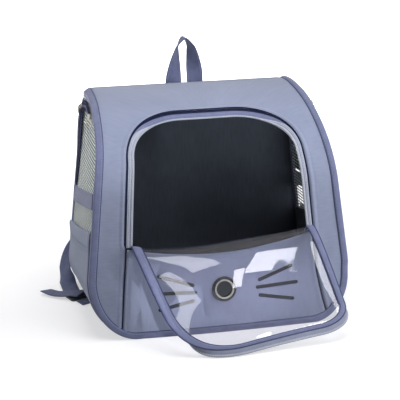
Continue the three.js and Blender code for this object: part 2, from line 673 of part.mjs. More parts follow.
// Ladder lock: a plate with two slots that lies on the floor beside the bag.
function ladderLock(side) {
  const { length, width, thick, slot, centre, turn } = LOCK;
  const shape = new THREE.Shape();
  const bevel = 3;
  shape.moveTo(-width / 2 + bevel, -length / 2);
  shape.lineTo(width / 2 - bevel, -length / 2);
  shape.lineTo(width / 2, -length / 2 + bevel);
  shape.lineTo(width / 2, length / 2 - bevel);
  shape.lineTo(width / 2 - bevel, length / 2);
  shape.lineTo(-width / 2 + bevel, length / 2);
  shape.lineTo(-width / 2, length / 2 - bevel);
  shape.lineTo(-width / 2, -length / 2 + bevel);
  for (const [middle, play] of [[-length / 4, 0.4], [length / 4, 1]]) {
    const slotHalf = WEBBING.width / 2 + play;
    const hole = new THREE.Path();
    hole.moveTo(-slotHalf, middle - slot / 2);
    hole.lineTo(-slotHalf, middle + slot / 2);
    hole.lineTo(slotHalf, middle + slot / 2);
    hole.lineTo(slotHalf, middle - slot / 2);
    shape.holes.push(hole);
  }
  const plate = new THREE.ExtrudeGeometry(shape, { depth: thick, bevelEnabled: false });
  return plate.rotateZ(side * turn).translate(side * centre[0], centre[1], GAP);
}

add("front_surround", frontTop(), PANEL);
add("front_lower_panel", frontLowerPanel(), PANEL, frontPlane);
add("eyelet", eyelet(), NICKEL, frontPlane);
add("base_panel", basePanel(), PANEL);
add("back_panel", onBack(backOutline(BACK_BINDING.width, THREE.Shape), BACK_PAD), PANEL);
add("back_yoke", backYoke(), PANEL);
add("binding_front", frontBinding(), BINDING);
add("binding_back", backBinding(), BINDING);
add("door_frame_tape", doorwayTape(), BINDING);
add("door_window", doorWindow(), CLEAR_PVC);
add("door_binding", doorStrip(DOOR_BINDING), BINDING);
add("door_zip_tape", doorStrip(DOOR_ZIP), BINDING);
add("handle", handleLoop(), WEB);

for (const [name, side] of [["left", -1], ["right", 1]]) {
  add(`front_column_${name}`, frontColumn(side), PANEL);
  add(`lower_side_${name}`, lowerSideWall(side), PANEL);
  add(`side_mesh_${name}`, sideNet(side), NETTING);
  add(`pocket_${name}`, pocket(side), PANEL);
  add(`band_${name}`, sideBand(side), WEB);
  add(`side_zip_${name}`, sideZip(side), DARK_ZIP);
  const sliderX = straightHalf(SLIDER.z - SLIDER.length / 2) + 2 * GAP + TAPE;
  const slider = add(`zip_slider_${name}`, zipSlider(side), NICKEL);
  slider.position.set(side * sliderX, SLIDER.y, SLIDER.z);
  const ring = add(`zip_ring_${name}`, new THREE.TorusGeometry(RING.radius, RING.wire, 6, 14), NICKEL);
  ring.rotation.y = Math.PI / 2;
  const ringDrop = SLIDER.width / 2 + RING.radius + RING.wire + GAP;
  ring.position.set(side * (sliderX + SLIDER.thick / 2), SLIDER.y, SLIDER.z - ringDrop);
  for (const row of WHISKERS)
    add(`whisker_${name}_${row.row}`, whisker(side, row), PRINT, frontPlane);
  const padWidth = (u) => lerp(PAD.width, PAD.endWidth, smoothstep(u, 0.4, 1));
  add(`strap_pad_${name}`, strap(PAD_ROUTE, 16, padWidth, PAD.thick, side), PANEL);
  const webWidth = () => WEBBING.width;
  add(`strap_webbing_${name}`, strap(WEBBING_ROUTE, 28, webWidth, WEBBING.thick, side), WEB);
  add(`strap_tail_${name}`, strap(TAIL_ROUTE, 12, webWidth, WEBBING.thick, side), WEB);
  add(`strap_tab_${name}`, strap(TAB_ROUTE, 1, webWidth, WEBBING.thick, side), WEB);
  add(`ladder_lock_${name}`, ladderLock(side), BLACK_PLASTIC);
}

export default bag;
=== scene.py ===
import bpy
import numpy as np
from mathutils import Matrix


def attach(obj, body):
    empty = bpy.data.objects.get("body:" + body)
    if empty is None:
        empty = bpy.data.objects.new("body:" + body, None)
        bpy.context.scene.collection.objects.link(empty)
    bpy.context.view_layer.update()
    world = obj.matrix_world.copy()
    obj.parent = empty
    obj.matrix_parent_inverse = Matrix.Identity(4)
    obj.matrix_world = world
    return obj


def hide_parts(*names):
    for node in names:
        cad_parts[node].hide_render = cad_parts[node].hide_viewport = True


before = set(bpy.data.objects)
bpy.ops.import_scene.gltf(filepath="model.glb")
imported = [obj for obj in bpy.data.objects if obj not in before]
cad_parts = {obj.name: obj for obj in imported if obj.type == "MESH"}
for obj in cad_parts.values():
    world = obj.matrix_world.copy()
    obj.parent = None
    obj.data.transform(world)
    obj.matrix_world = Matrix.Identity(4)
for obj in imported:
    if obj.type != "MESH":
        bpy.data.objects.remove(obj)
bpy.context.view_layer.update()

MM = 0.001

# Body, as in the part's source: +Z up, door at -Y, wearer at +Y
BASE_WIDTH, DEPTH, HEIGHT = 340, 204, 273
FRONT_Y, BACK_Y = -DEPTH / 2, DEPTH / 2
WIDTH_TAPER = 0.18
FRONT_LEAN = np.radians(8.7)
SHOULDER_Z, SHOULDER_PULL, ROOF_PULL = 172, 72, 66
ROOF_SLOPE = np.radians(-4)
FRONT_CORNER = {"run": 57, "rise": 72}
BACK_CORNER = {"run": 32, "rise": 40}
TOP_CORNER = 14
WALL, GAP = 3, 0.3  # of the solids
PANEL_CLOTH = 2.4  # thickness of the front's padded cloth
INSIDE = np.array([0, 0, 130])  # a point in the cabin, which outer faces look away from
TO_THE_BACK = (0, 1, 0)
DOOR_OVER_FLOOR = 0.4  # the door's lowest points rest this far above the floor

# Front
# Places on it are x across and s, the length along the front from the floor
SEAM_LOW, SEAM_HIGH = (126.5, 7), (116.5, 113)
SILL_END, SILL_SAG, SILL_TILT = 114, 17, 3
EYELET = {"x": 1, "s": 52.6, "bore": 10, "barrel": 11.6, "flange": 15.2}
WHISKER_CENTRES, WHISKER_WIDTH = {-1: 3, 1: 5.2}, 4.4
WHISKERS = {  # each stroke's inner and outer end, counted from the motif's middle
    "upper": ((41, 60), (82, 74)),
    "middle": ((38, 51), (88, 53)),
    "lower": ((41, 41), (82, 33)),
}
DOORWAY = {"half_low": 109, "low": 115, "half_high": 101.5, "high": 215.5, "radius": 68}
DOORWAY_TAPE = {"side": 9, "top": 11.5}

# Door
DOOR = {"hinge": (-110.5, 114), "free_half": 106, "length": 176}
DOOR_RADII = (75, 40)  # of the left and the right corner
# The free edge's corners before they are rounded
DOOR_FREE = np.array([[-61, FRONT_Y - 80, -2.4], [143, FRONT_Y - 65.6, 15]])
DOOR_BOW = 4.5  # how far the left side swings out between its ends
# At the left, in the middle and at the right: how strongly the fold rises from the hinge, its angle there
# in degrees, how long the free edge runs straight and how steeply it slopes to the floor, in degrees
DOOR_RISE, DOOR_TILT, DOOR_RUN = (20, 64, 30), (65, 83, 96), (3, 28, 31)
DOOR_END = (31, 40, 52)
DOOR_CLEAR = 3.4  # the hinge stands this far off the front

# Sides
POCKET_TOP, POCKET_OVER_NET, POCKET_BULGE = (135, 92), 6, 4  # its top's heights are front and back
BAND_LOW, BAND_HEIGHT = (163, 119), 20
# Its y, its z and the tape's width, from its foot up the rear edge and forward under the roof
SIDE_ZIP = ((88, 147, 22), (84, 190, 32), (83, 232, 34), (76, 256, 20), (48, 261, 12), (18, 253, 11))
SLIDER = {"length": 11, "width": 8, "thick": 3}
FRONT_SLIDER, REAR_SLIDER = (16, 253), (83, 256)  # their y and z
RING = {"radius": 4.8, "wire": 1.0, "ahead": 7, "below": 7}
PULL_TAB = {"width": 5.5, "length": 15, "thick": 1.2}
NET_PITCH, NET_STEP = 4.4, 8  # between rows of holes, and along a row
EDGE_FLOOR, EDGE_CORNER = 0.2, 0.45  # shares of the front's edge

# Back, handle and straps
BACK_BINDING, BACK_PAD = 8, 9
BACK_FACE_Y = BACK_Y + GAP + BACK_PAD
YOKE = {"half": 84, "low": 240, "high": 262, "thick": 3}
HANDLE = {"centre": -1.4, "spread": 14.8, "width": 22, "foot": 252.4, "apex": 331.5, "thick": 2}
HANDLE_SHARES = ((1, 273), (0.88, 296), (0.73, 312), (0.58, 321))  # of the spread, at heights
PAD = {"width": 54, "end_width": 40, "thick": 8}
WEBBING = {"width": 22, "thick": 1.8}
# A strap's route: places along its middle, each with the direction of its width
PAD_ROUTE = (
    ((46, BACK_FACE_Y + 5.4, 234), (1, 0, 0.1)),
    ((50, BACK_FACE_Y + 12, 212), (1, 0, 0.2)),
    ((66, BACK_FACE_Y + 27, 174), (0.95, 0, 0.35)),
    ((88, BACK_FACE_Y + 28, 130), (0.93, 0, 0.4)),
    ((104, BACK_FACE_Y + 17, 94), (0.93, 0, 0.4)),
)
WEBBING_ROUTE = (
    ((107.6, BACK_FACE_Y + 14.4, 86), (0.93, 0, 0.4)),
    ((132, BACK_FACE_Y + 12, 68), (0.7, 0.35, 0.6)),
    ((160, BACK_FACE_Y + 8, 44), (0.4, 0.75, 0.5)),
    ((171.5, BACK_FACE_Y - 2, 23), (0.28, 0.9, 0.35)),
    ((171, BACK_FACE_Y - 18, 8), (0.5, 0.8, 0.3)),
    ((169, BACK_FACE_Y - 38, 2.4), (0.9, 0.1, 0)),
    ((167.5, 58.4, 1.8), (0.92, -0.38, 0)),
)
TAIL_ROUTE = (
    ((159, 38.6, 8), (0.92, -0.38, 0)),
    ((167, 44, 7.4), (0.75, -0.66, 0)),
    ((178, 51, 5), (0.62, -0.78, 0)),
    ((190, 60, 3), (0.58, -0.81, 0.1)),
    ((202, 73, 3.4), (0.62, -0.76, 0.2)),
)
TAB_ROUTE = (((156.4, 33.6, 2), (0.92, -0.38, 0)), ((150, 20, 1.6), (0.92, -0.38, 0)))
LOCK = {"centre": (162, 46), "turn": np.radians(-22), "length": 24, "width": 30, "thick": 5}


# Numbers and curves


def lerp(a, b, t):
    """The value that is the share t of the way from a to b."""
    return a + (b - a) * t


def smooth(x, low, high):
    """0 below low, 1 above high and an S-shaped rise between them."""
    t = np.clip((x - low) / (high - low), 0, 1)
    return t * t * (3 - 2 * t)


def bump(x, middle, width):
    """A bell of height 1 round middle."""
    return np.exp(-(((x - middle) / width) ** 2))


def unit(vectors):
    """The vectors scaled to length 1."""
    return vectors / np.linalg.norm(vectors, axis=-1, keepdims=True)


def spaced(count, low=0.0, high=1.0):
    """Evenly spaced numbers from low to high."""
    return np.linspace(low, high, count)


def bezier(points, t):
    """A cubic curve: the four points weighed by the terms of (t + (1 - t)) cubed."""
    a, b, c, d = points
    return a * (1 - t) ** 3 + b * 3 * t * (1 - t) ** 2 + c * 3 * t**2 * (1 - t) + d * t**3


def through(rows, t):
    """A smooth curve through the rows: cubic spans whose slopes come from root-of-distance knots."""
    rows = np.asarray(rows, float)
    ends = np.vstack([2 * rows[0] - rows[1], rows, 2 * rows[-1] - rows[-2]])
    spans = len(rows) - 1
    k = np.minimum((t * spans).astype(int), spans - 1)
    w = (t * spans - k)[:, None]
    p0, p1, p2, p3 = (ends[k + step] for step in range(4))
    d0, d1, d2 = (
        np.maximum(np.linalg.norm(b - a, axis=1, keepdims=True) ** 0.5, 1e-3)
        for a, b in ((p0, p1), (p1, p2), (p2, p3))
    )
    leave = d1 * ((p1 - p0) / d0 - (p2 - p0) / (d0 + d1) + (p2 - p1) / d1)
    arrive = d1 * ((p2 - p1) / d1 - (p3 - p1) / (d1 + d2) + (p3 - p2) / d2)
    start = (2 * w**3 - 3 * w**2 + 1) * p1 + (w**3 - 2 * w**2 + w) * leave
    return start + (3 * w**2 - 2 * w**3) * p2 + (w**3 - w**2) * arrive


# The bag's surfaces


def front_line():
    """The front in the side view: straight from the floor to the shoulder, then a cubic to the back.
    Gives its points' length along it, y, z and direction."""
    way = np.array([np.sin(FRONT_LEAN), np.cos(FRONT_LEAN)])
    shoulder = np.array([FRONT_Y + SHOULDER_Z * np.tan(FRONT_LEAN), SHOULDER_Z])
    end = np.array([BACK_Y, HEIGHT])
    roof_way = np.array([np.cos(ROOF_SLOPE), np.sin(ROOF_SLOPE)])
    pulls = (shoulder, shoulder + SHOULDER_PULL * way, end - ROOF_PULL * roof_way, end)
    curve = bezier(pulls, spaced(400)[:, None])
    line = np.vstack([[FRONT_Y, 0], curve])
    directions = np.vstack([way, unit(np.gradient(curve, axis=0))])
    length = np.concatenate([[0], np.cumsum(np.linalg.norm(np.diff(line, axis=0), axis=1))])
    return length, line[:, 0], line[:, 1], directions[:, 0], directions[:, 1]


LINE_S, LINE_Y, LINE_Z, LINE_WAY_Y, LINE_WAY_Z = front_line()
FRONT_LENGTH = LINE_S[-1]


def front(x, s, lift=0.0):
    """A point of the front or roof: x across, s along its line, lift square to its outer face."""
    x, s, lift = np.broadcast_arrays(x, s, lift)
    y, z, way_y, way_z = (np.interp(s, LINE_S, v) for v in (LINE_Y, LINE_Z, LINE_WAY_Y, LINE_WAY_Z))
    return np.stack([x, y - lift * way_z, z + lift * way_y], -1)


def straight_half(z):
    """Half the tapered bag's width at a height, above its rounded lower corners."""
    return BASE_WIDTH / 2 * (1 - WIDTH_TAPER * z / HEIGHT)


def lower_corner(to_back):
    """The elliptical lower corner's run, rise and where it starts, from the front at 0 to the back at 1."""
    run = lerp(FRONT_CORNER["run"], BACK_CORNER["run"], to_back)
    rise = lerp(FRONT_CORNER["rise"], BACK_CORNER["rise"], to_back)
    return run, rise, straight_half(rise) - run


def front_half(s):
    """Half the front's width at s: the corner's ellipse below its rise, the tapered side above."""
    run, rise, middle = lower_corner(0)
    z = np.interp(s, LINE_S, LINE_Z)
    round_part = middle + run * np.sqrt(np.clip(1 - (1 - z / rise) ** 2, 0, 1))
    return np.where(z < rise, round_part, straight_half(z))


def slanted(ends, y):
    """The height at y of a straight line with these heights at the front and the back."""
    return lerp(ends[0], ends[1], (y - FRONT_Y) / DEPTH)


def wall_start(z):
    """Where the walls behind the straight front begin."""
    return FRONT_Y + z * np.tan(FRONT_LEAN) + (WALL + GAP) / np.cos(FRONT_LEAN)


def net_seam(y):
    """The height of the net's lower edge, which the pocket covers."""
    return slanted(POCKET_TOP, y) - POCKET_OVER_NET


CORNER_SHARE = 0.6


def lower_side(side, t, y, top, lift):
    """The lower side: an ellipse quarter from the base, t up to CORNER_SHARE, then straight up to top."""
    t, y, top, lift = np.broadcast_arrays(t, y, top, lift)
    run, rise, middle = lower_corner((y - FRONT_Y) / DEPTH)
    turn = np.clip(t / CORNER_SHARE, 0, 1) * np.pi / 2
    out = unit(np.stack([np.sin(turn) / run, -np.cos(turn) / rise], -1))
    z = lerp(rise, top, (t - CORNER_SHARE) / (1 - CORNER_SHARE))
    in_corner = t < CORNER_SHARE
    x = np.where(in_corner, middle + run * np.sin(turn) + out[..., 0] * lift, straight_half(z) + lift)
    z = np.where(in_corner, rise * (1 - np.cos(turn)) + out[..., 1] * lift, z)
    return np.stack([side * x, y, z], -1)


def doorway_half(steps, side=0.0, top=0.0):
    """The left half of the doorway's clear edge in x and s, moved out by side and top: up the side, round the
    corner and to the top's middle, with steps points on each of the three."""
    half_low, half_high = DOORWAY["half_low"] + side, DOORWAY["half_high"] + side
    middle = DOORWAY["half_high"] - DOORWAY["radius"]
    tall = DOORWAY["radius"] + top
    up = spaced(steps)
    turn = up[1:] * np.pi / 2
    x = [lerp(half_low, half_high, up), middle + (half_high - middle) * np.cos(turn), middle * (1 - up[1:])]
    s = [
        lerp(DOORWAY["low"], DOORWAY["high"], up),
        DOORWAY["high"] + tall * np.sin(turn),
        np.full(steps - 1, DOORWAY["high"] + tall),
    ]
    return -np.concatenate(x), np.concatenate(s)


def tape_half(steps):
    """The zip tape's outer edge, point for point beside the clear edge."""
    return doorway_half(steps, DOORWAY_TAPE["side"], DOORWAY_TAPE["top"])


def mirrored(x, s):
    """A left half and its mirror image as one line from the left to the right."""
    return np.concatenate([x, -x[-2::-1]]), np.concatenate([s, s[-2::-1]])


def relief(x, s):
    """The front cloth's unevenness in millimetres: slow waves, and a soft dent by each hinge corner."""
    waves = 0.35 * np.sin(x / 23 + 0.7) * np.sin(s / 31 + 0.4) + 0.2 * np.sin(x / 11 - s / 17)
    dent = bump(np.abs(x) - 0.35 * (s - 80), 131, 9) * bump(s, 76, 24)
    return waves - 1.3 * dent


# How the soft bag stands, in millimetres
ROOF_LEAN, ROOF_SINK = 1.9, 1.0  # the roof's sides rise and fall by the first, and all of it sinks
SHOULDER_IN = 2.4  # to the right, at the left shoulder
REAR_CORNER_IN, REAR_CORNER_SINK = 1.2, 5.5  # at the rear left top corner
SQUARER_CORNER = {"run": 46, "rise": 57, "half": 161}  # the front's lower right corner
FOOT_BOW = {"by": 4, "middle": 20, "half": 120}  # the lower front's bow, forward


def settle(points):
    """How the soft bag stands, one change for all its pieces, in millimetres: the roof leans to the left,
    its left shoulder is drawn in, the rear left top corner is rounded off, the lower front bows out and its
    right corner is squarer. The hanging door, in front of all that, stays as it is."""
    x, y, z = np.moveaxis(np.asarray(points, float), -1, 0)
    behind_door = smooth(y, FRONT_Y - 14, FRONT_Y - 7)
    run, rise, middle = lower_corner(0)
    old_half = middle + run * np.sqrt(np.clip(1 - (1 - np.clip(z, 0, rise) / rise) ** 2, 0, 1))
    run, rise = SQUARER_CORNER["run"], SQUARER_CORNER["rise"]
    round_half = run * np.sqrt(np.clip(1 - (1 - np.clip(z, 0, rise) / rise) ** 2, 0, 1))
    new_half = np.where(z < rise, SQUARER_CORNER["half"] - run + round_half, SQUARER_CORNER["half"])
    wider = (new_half - old_half) * (1 - smooth(z, 60, 82))
    corner = wider * smooth(x, 60, old_half) * (1 - smooth(y, FRONT_Y, BACK_Y)) * behind_door
    rear = smooth(z, 235, HEIGHT) * smooth(y, 0, BACK_Y)
    rear_in = REAR_CORNER_IN * rear * smooth(-x, 60, 139)
    shoulder_in = SHOULDER_IN * smooth(-x, 40, 115) * smooth(z, 175, 240) * (1 - smooth(y, 20, 90))
    low = (1 - smooth(z, 0, 100)) * (1 - smooth(y, FRONT_Y + 14, FRONT_Y + 80)) * behind_door
    from_middle = (x - FOOT_BOW["middle"]) / FOOT_BOW["half"]
    bow = FOOT_BOW["by"] * np.clip(1 - from_middle**2, 0, 1) * low
    lean = (ROOF_LEAN * x / 139 - ROOF_SINK) * smooth(z, 120, HEIGHT)
    sink = REAR_CORNER_SINK * rear * smooth(-x, 130, 141)
    return np.stack([x + corner + rear_in + shoulder_in, y - bow, z + lean - sink], -1)


# Meshes


def grid_quads(rows, columns, along=False, around=False):
    """A grid's quads as point numbers, and their corners as grid steps for the UV map."""
    i, j = np.meshgrid(
        np.arange(rows - (not along)), np.arange(columns - (not around)), indexing="ij"
    )
    i, j = i.ravel(), j.ravel()
    steps = np.stack([np.stack([i + a, j + b], 1) for a, b in ((0, 0), (1, 0), (1, 1), (0, 1))], 1)
    return steps[..., 0] % rows * columns + steps[..., 1] % columns, steps


def lengths(points, axis, closed):
    """The grid's mean length up to each step along one axis, in metres."""
    more = np.take(points, [0], axis=axis) if closed else points[:0] if axis == 0 else points[:, :0]
    step = np.diff(np.concatenate([points, more], axis=axis), axis=axis)
    return np.concatenate([[0], np.cumsum(np.linalg.norm(step, axis=2).mean(1 - axis))]) * MM


def new_piece(name, points, faces, materials, nodes=(), uv=None, flat_angle=40):
    """An object at the origin from points in millimetres. It rides on the bag's one body."""
    mesh = bpy.data.meshes.new(name)
    mesh.from_pydata((settle(points).reshape(-1, 3) * MM).tolist(), [], faces)
    if uv is not None:
        corners = np.zeros((len(mesh.loops), 2))
        corners[: len(uv)] = uv
        mesh.uv_layers.new(name="cloth").data.foreach_set("uv", corners.ravel())
    mesh.shade_smooth()
    mesh.set_sharp_from_angle(angle=np.radians(flat_angle))
    for material in materials:
        mesh.materials.append(material)
    piece = bpy.data.objects.new(name, mesh)
    bpy.context.collection.objects.link(piece)
    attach(piece, "root")
    if nodes:
        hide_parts(*nodes)
    return piece


def sheet(name, points, materials, nodes=(), wall=0.0, keep=None, inside=INSIDE, along=False):
    """An open grid of points as cloth. Its faces look away from inside, and wall is its thickness, laid
    inwards. keep says which quads stay, by their middles."""
    rows, columns = points.shape[:2]
    quads, steps = grid_quads(rows, columns, along)
    flat = points.reshape(-1, 3)
    middles = flat[quads].mean(1)
    normals = np.cross(flat[quads[:, 2]] - flat[quads[:, 0]], flat[quads[:, 3]] - flat[quads[:, 1]])
    if ((middles - inside) * normals).sum() < 0:
        quads, steps = quads[:, ::-1], steps[:, ::-1]
    if keep is not None:
        chosen = keep(middles)
        quads, steps = quads[chosen], steps[chosen]
    used, places = np.unique(quads, return_inverse=True)
    uv = np.stack([lengths(points, 0, along)[steps[..., 0]], lengths(points, 1, False)[steps[..., 1]]], -1)
    faces = places.reshape(quads.shape).tolist()
    piece = new_piece(name, flat[used], faces, materials, nodes, uv.reshape(-1, 2))
    if wall:
        layer = piece.modifiers.new("cloth thickness", "SOLIDIFY")
        layer.thickness = wall * MM
        layer.offset = -1
        layer.use_even_offset = True
        layer.material_offset = len(materials) - 1
    return piece


def tube(points, along=False):
    """A closed skin of a grid whose rows are rings: its faces, and its UV map in metres. Rows that don't
    run in a loop end in flat caps."""
    rows, columns = points.shape[:2]
    quads, steps = grid_quads(rows, columns, along, True)
    flat = points.reshape(-1, 3)
    middles = flat[quads].mean(1)
    normals = np.cross(flat[quads[:, 2]] - flat[quads[:, 0]], flat[quads[:, 3]] - flat[quads[:, 1]])
    hearts = points.mean(1)[quads[:, 0] // columns]
    ring = np.arange(columns)
    caps = [] if along else [ring[::-1].tolist(), (ring + (rows - 1) * columns).tolist()]
    if ((middles - hearts) * normals).sum() < 0:
        quads, steps = quads[:, ::-1], steps[:, ::-1]
        caps = [cap[::-1] for cap in caps]
    uv = np.stack([lengths(points, 0, along)[steps[..., 0]], lengths(points, 1, True)[steps[..., 1]]], -1)
    return quads.tolist() + caps, uv.reshape(-1, 2)


def band(name, points, materials, nodes=(), along=False, flat_angle=40):
    """A piece from a grid whose rows are closed rings."""
    faces, uv = tube(points, along)
    return new_piece(name, points, faces, materials, nodes, uv, flat_angle)


def swept(path, across, out, profile):
    """A profile of (across, out) points carried along a path with its own width and out directions."""
    profile = np.asarray(profile, float)
    if profile.ndim == 2:
        profile = profile[None]
    return path[:, None] + across[:, None] * profile[..., :1] + out[:, None] * profile[..., 1:]


def flat_profile(width, thick, edge_steps=4):
    """A flat band's section: two straight sides with half-round edges."""
    turn = spaced(edge_steps * 2 + 1, -np.pi / 2, np.pi / 2)
    reach = width / 2 - thick / 2
    right = np.stack([reach + thick / 2 * np.cos(turn), thick / 2 * np.sin(turn)], 1)
    flats = spaced(5, 0.8, -0.8) * reach
    top = np.stack([flats, np.full(5, thick / 2)], 1)
    return np.concatenate([right, top, -right, -top])


def round_profile(radius, sides=10):
    """A circle's points."""
    turn = spaced(sides + 1, 0, 2 * np.pi)[:-1]
    return radius * np.stack([np.cos(turn), np.sin(turn)], 1)


def directions(path, out):
    """The unit out and width directions of a path, squared up to its own direction."""
    ahead = unit(np.gradient(path, axis=0))
    out = unit(out - ahead * (out * ahead).sum(-1, keepdims=True))
    return ahead, np.cross(out, ahead), out


def repeated(direction, count):
    """One direction for each of count points."""
    return np.tile(np.asarray(direction, float), (count, 1))


def cord(name, path, out, radius, sides, material):
    """A round cord along a path."""
    _, across, out = directions(path, out)
    return band(name, swept(path, across, out, round_profile(radius, sides)), [material])


def evenly(path, out, spacing):
    """Points and out directions at even lengths along a path."""
    run = np.concatenate([[0], np.cumsum(np.linalg.norm(np.diff(path, axis=0), axis=1))])
    at = np.arange(spacing / 2, run[-1], spacing)
    both = np.concatenate([path, out], 1)
    found = np.stack([np.interp(at, run, column) for column in both.T], 1)
    return found[:, :3], found[:, 3:]


GRAIN_ALONG = np.repeat([-1, -0.7, 0.7, 1], 6)
GRAIN_ROUND = np.repeat([0.35, 1, 1, 0.35], 6)
GRAIN_TURN = np.tile(spaced(7, 0, 2 * np.pi)[:-1], 4)
GRAIN_FACES = grid_quads(4, 6, False, True)[0][:, ::-1].tolist() + [list(range(6)), list(range(23, 17, -1))]


def grains(name, paths, spacing, half, material, slot, crosswise=False):
    """Many small barrels in a row along each path, such as stitches or, crosswise, a zip's teeth. Each
    barrel is four rings of six points, half gives its half length, half width and half height."""
    points = []
    for path, out in paths:
        path, out = evenly(path, out, spacing)
        ahead, across, out = directions(path, out)
        long, wide = (across, -ahead) if crosswise else (ahead, across)
        points.append(
            path[:, None]
            + long[:, None] * (GRAIN_ALONG * half[0])[None, :, None]
            + wide[:, None] * (GRAIN_ROUND * np.cos(GRAIN_TURN) * half[1])[None, :, None]
            + out[:, None] * (GRAIN_ROUND * np.sin(GRAIN_TURN) * half[2])[None, :, None]
        )
    points = np.concatenate(points)
    first = (np.arange(len(points)) * 24)[:, None]
    faces = np.concatenate([first + np.array(face) for face in GRAIN_FACES[:18]]).tolist()
    for cap in GRAIN_FACES[18:]:
        faces += (first + np.array(cap)).tolist()
    return new_piece(name, points, faces, [material])


# Kinds of stitch: the pitch, and the half length, half width and half height of the thread that shows
STITCH = (3.4, (1.2, 0.3, 0.25))
HEM_STITCH = (3.4, (1.2, 0.3, 0.3))
BINDING_STITCH = (3.6, (1.25, 0.3, 0.25))
QUILT_STITCH = (3.8, (1.3, 0.35, 0.3))


def stitches(name, rows, slot, kind=STITCH):
    """Sewing thread along rows of paths with their out directions."""
    return grains(name, rows, *kind, THREAD, slot)


# Finishes


def linear(colour):
    """An sRGB hex colour as linear red, green, blue and alpha."""
    share = np.array([int(colour[k : k + 2], 16) for k in (1, 3, 5)]) / 255
    light = np.where(share <= 0.04045, share / 12.92, ((share + 0.055) / 1.055) ** 2.4)
    return (*light.tolist(), 1.0)


def add_node(tree, kind, inputs=(), **settings):
    """Adds a node: settings are its own properties, inputs pair a socket with a value or a link."""
    made = tree.nodes.new(kind)
    for name, value in settings.items():
        setattr(made, name, value)
    for socket, value in dict(inputs).items():
        if isinstance(value, bpy.types.NodeSocket):
            tree.links.new(value, made.inputs[socket])
        else:
            made.inputs[socket].default_value = value
    return made


def new_finish(name, **sockets):
    """A material whose shader has these even values, with its node tree and shader."""
    material = bpy.data.materials.new(name)
    material.use_nodes = True
    shader = material.node_tree.nodes["Principled BSDF"]
    for socket, value in sockets.items():
        shader.inputs[socket.replace("_", " ")].default_value = value
    return material, material.node_tree, shader


def bands_per(pitch):
    """The Wave texture's scale for bands that are pitch millimetres apart."""
    return 2 * np.pi / 20 / (pitch * MM)


def noise_per(size):
    """The Noise texture's scale for patches of about size millimetres."""
    return 1 / (size * MM)


def noise(tree, place, size, detail=2):
    """Soft patches of about size millimetres, as a value from 0 to 1."""
    inputs = {"Vector": place, "Scale": noise_per(size), "Detail": detail}
    return add_node(tree, "ShaderNodeTexNoise", inputs).outputs["Fac"]


def colour_by(tree, shader, share, low, high):
    """Sets the base colour to a mix of two colours, from low at 0 to high at 1."""
    inputs = {"Factor": share, "A": linear(low), "B": linear(high)}
    blend = add_node(tree, "ShaderNodeMix", inputs, data_type="RGBA")
    tree.links.new(blend.outputs["Result"], shader.inputs["Base Color"])


def woven_cloth(name, colour, shade, thread, roughness=0.78, sheen=0.25, depth=0.12):
    """Plain-woven, coated polyester. The eye gets an even matte colour with a faint grid of threads,
    streaks where threads are thicker, slow patches of dye and a soft sheen at the edges. The threads
    are really 0.3 to 0.5 mm apart, and are drawn coarser so that they show."""
    material, tree, shader = new_finish(
        name, Roughness=roughness, Sheen_Weight=sheen, Sheen_Roughness=0.45, Specular_IOR_Level=0.3
    )
    place = add_node(tree, "ShaderNodeUVMap", uv_map="cloth").outputs["UV"]
    wave = "ShaderNodeTexWave"
    warp, weft = (
        add_node(
            tree,
            wave,
            {"Vector": place, "Scale": bands_per(thread), "Distortion": 0.6, "Detail Scale": 1.5},
            bands_direction=way,
        ).outputs["Fac"]
        for way in "XY"
    )
    streak_way = add_node(tree, "ShaderNodeMapping", {"Vector": place, "Scale": (1, 0.12, 1)}).outputs[0]
    streaks = noise(tree, streak_way, 2.5, 3)
    patches = noise(tree, place, 55)
    threads = add_node(tree, "ShaderNodeMath", {0: warp, 1: weft}, operation="MULTIPLY").outputs[0]
    uneven = add_node(tree, "ShaderNodeMath", {0: patches, 1: streaks}, operation="ADD").outputs[0]
    mottled = add_node(tree, "ShaderNodeMath", {0: threads, 1: 0.35, 2: uneven}, operation="MULTIPLY_ADD")
    share = add_node(
        tree, "ShaderNodeMapRange", {"Value": mottled.outputs[0], "From Min": 0.75, "From Max": 1.5}
    ).outputs[0]
    colour_by(tree, shader, share, shade, colour)
    relief_height = add_node(tree, "ShaderNodeMath", {0: warp, 1: weft}, operation="ADD").outputs[0]
    weave = add_node(
        tree, "ShaderNodeBump", {"Height": relief_height, "Strength": 0.35, "Distance": depth * MM}
    )
    crumple = noise(tree, place, 16)
    uneven = {"Height": crumple, "Strength": 0.5, "Distance": 0.5 * MM, "Normal": weave.outputs[0]}
    soft = add_node(tree, "ShaderNodeBump", uneven)
    tree.links.new(soft.outputs[0], shader.inputs["Normal"])
    return material


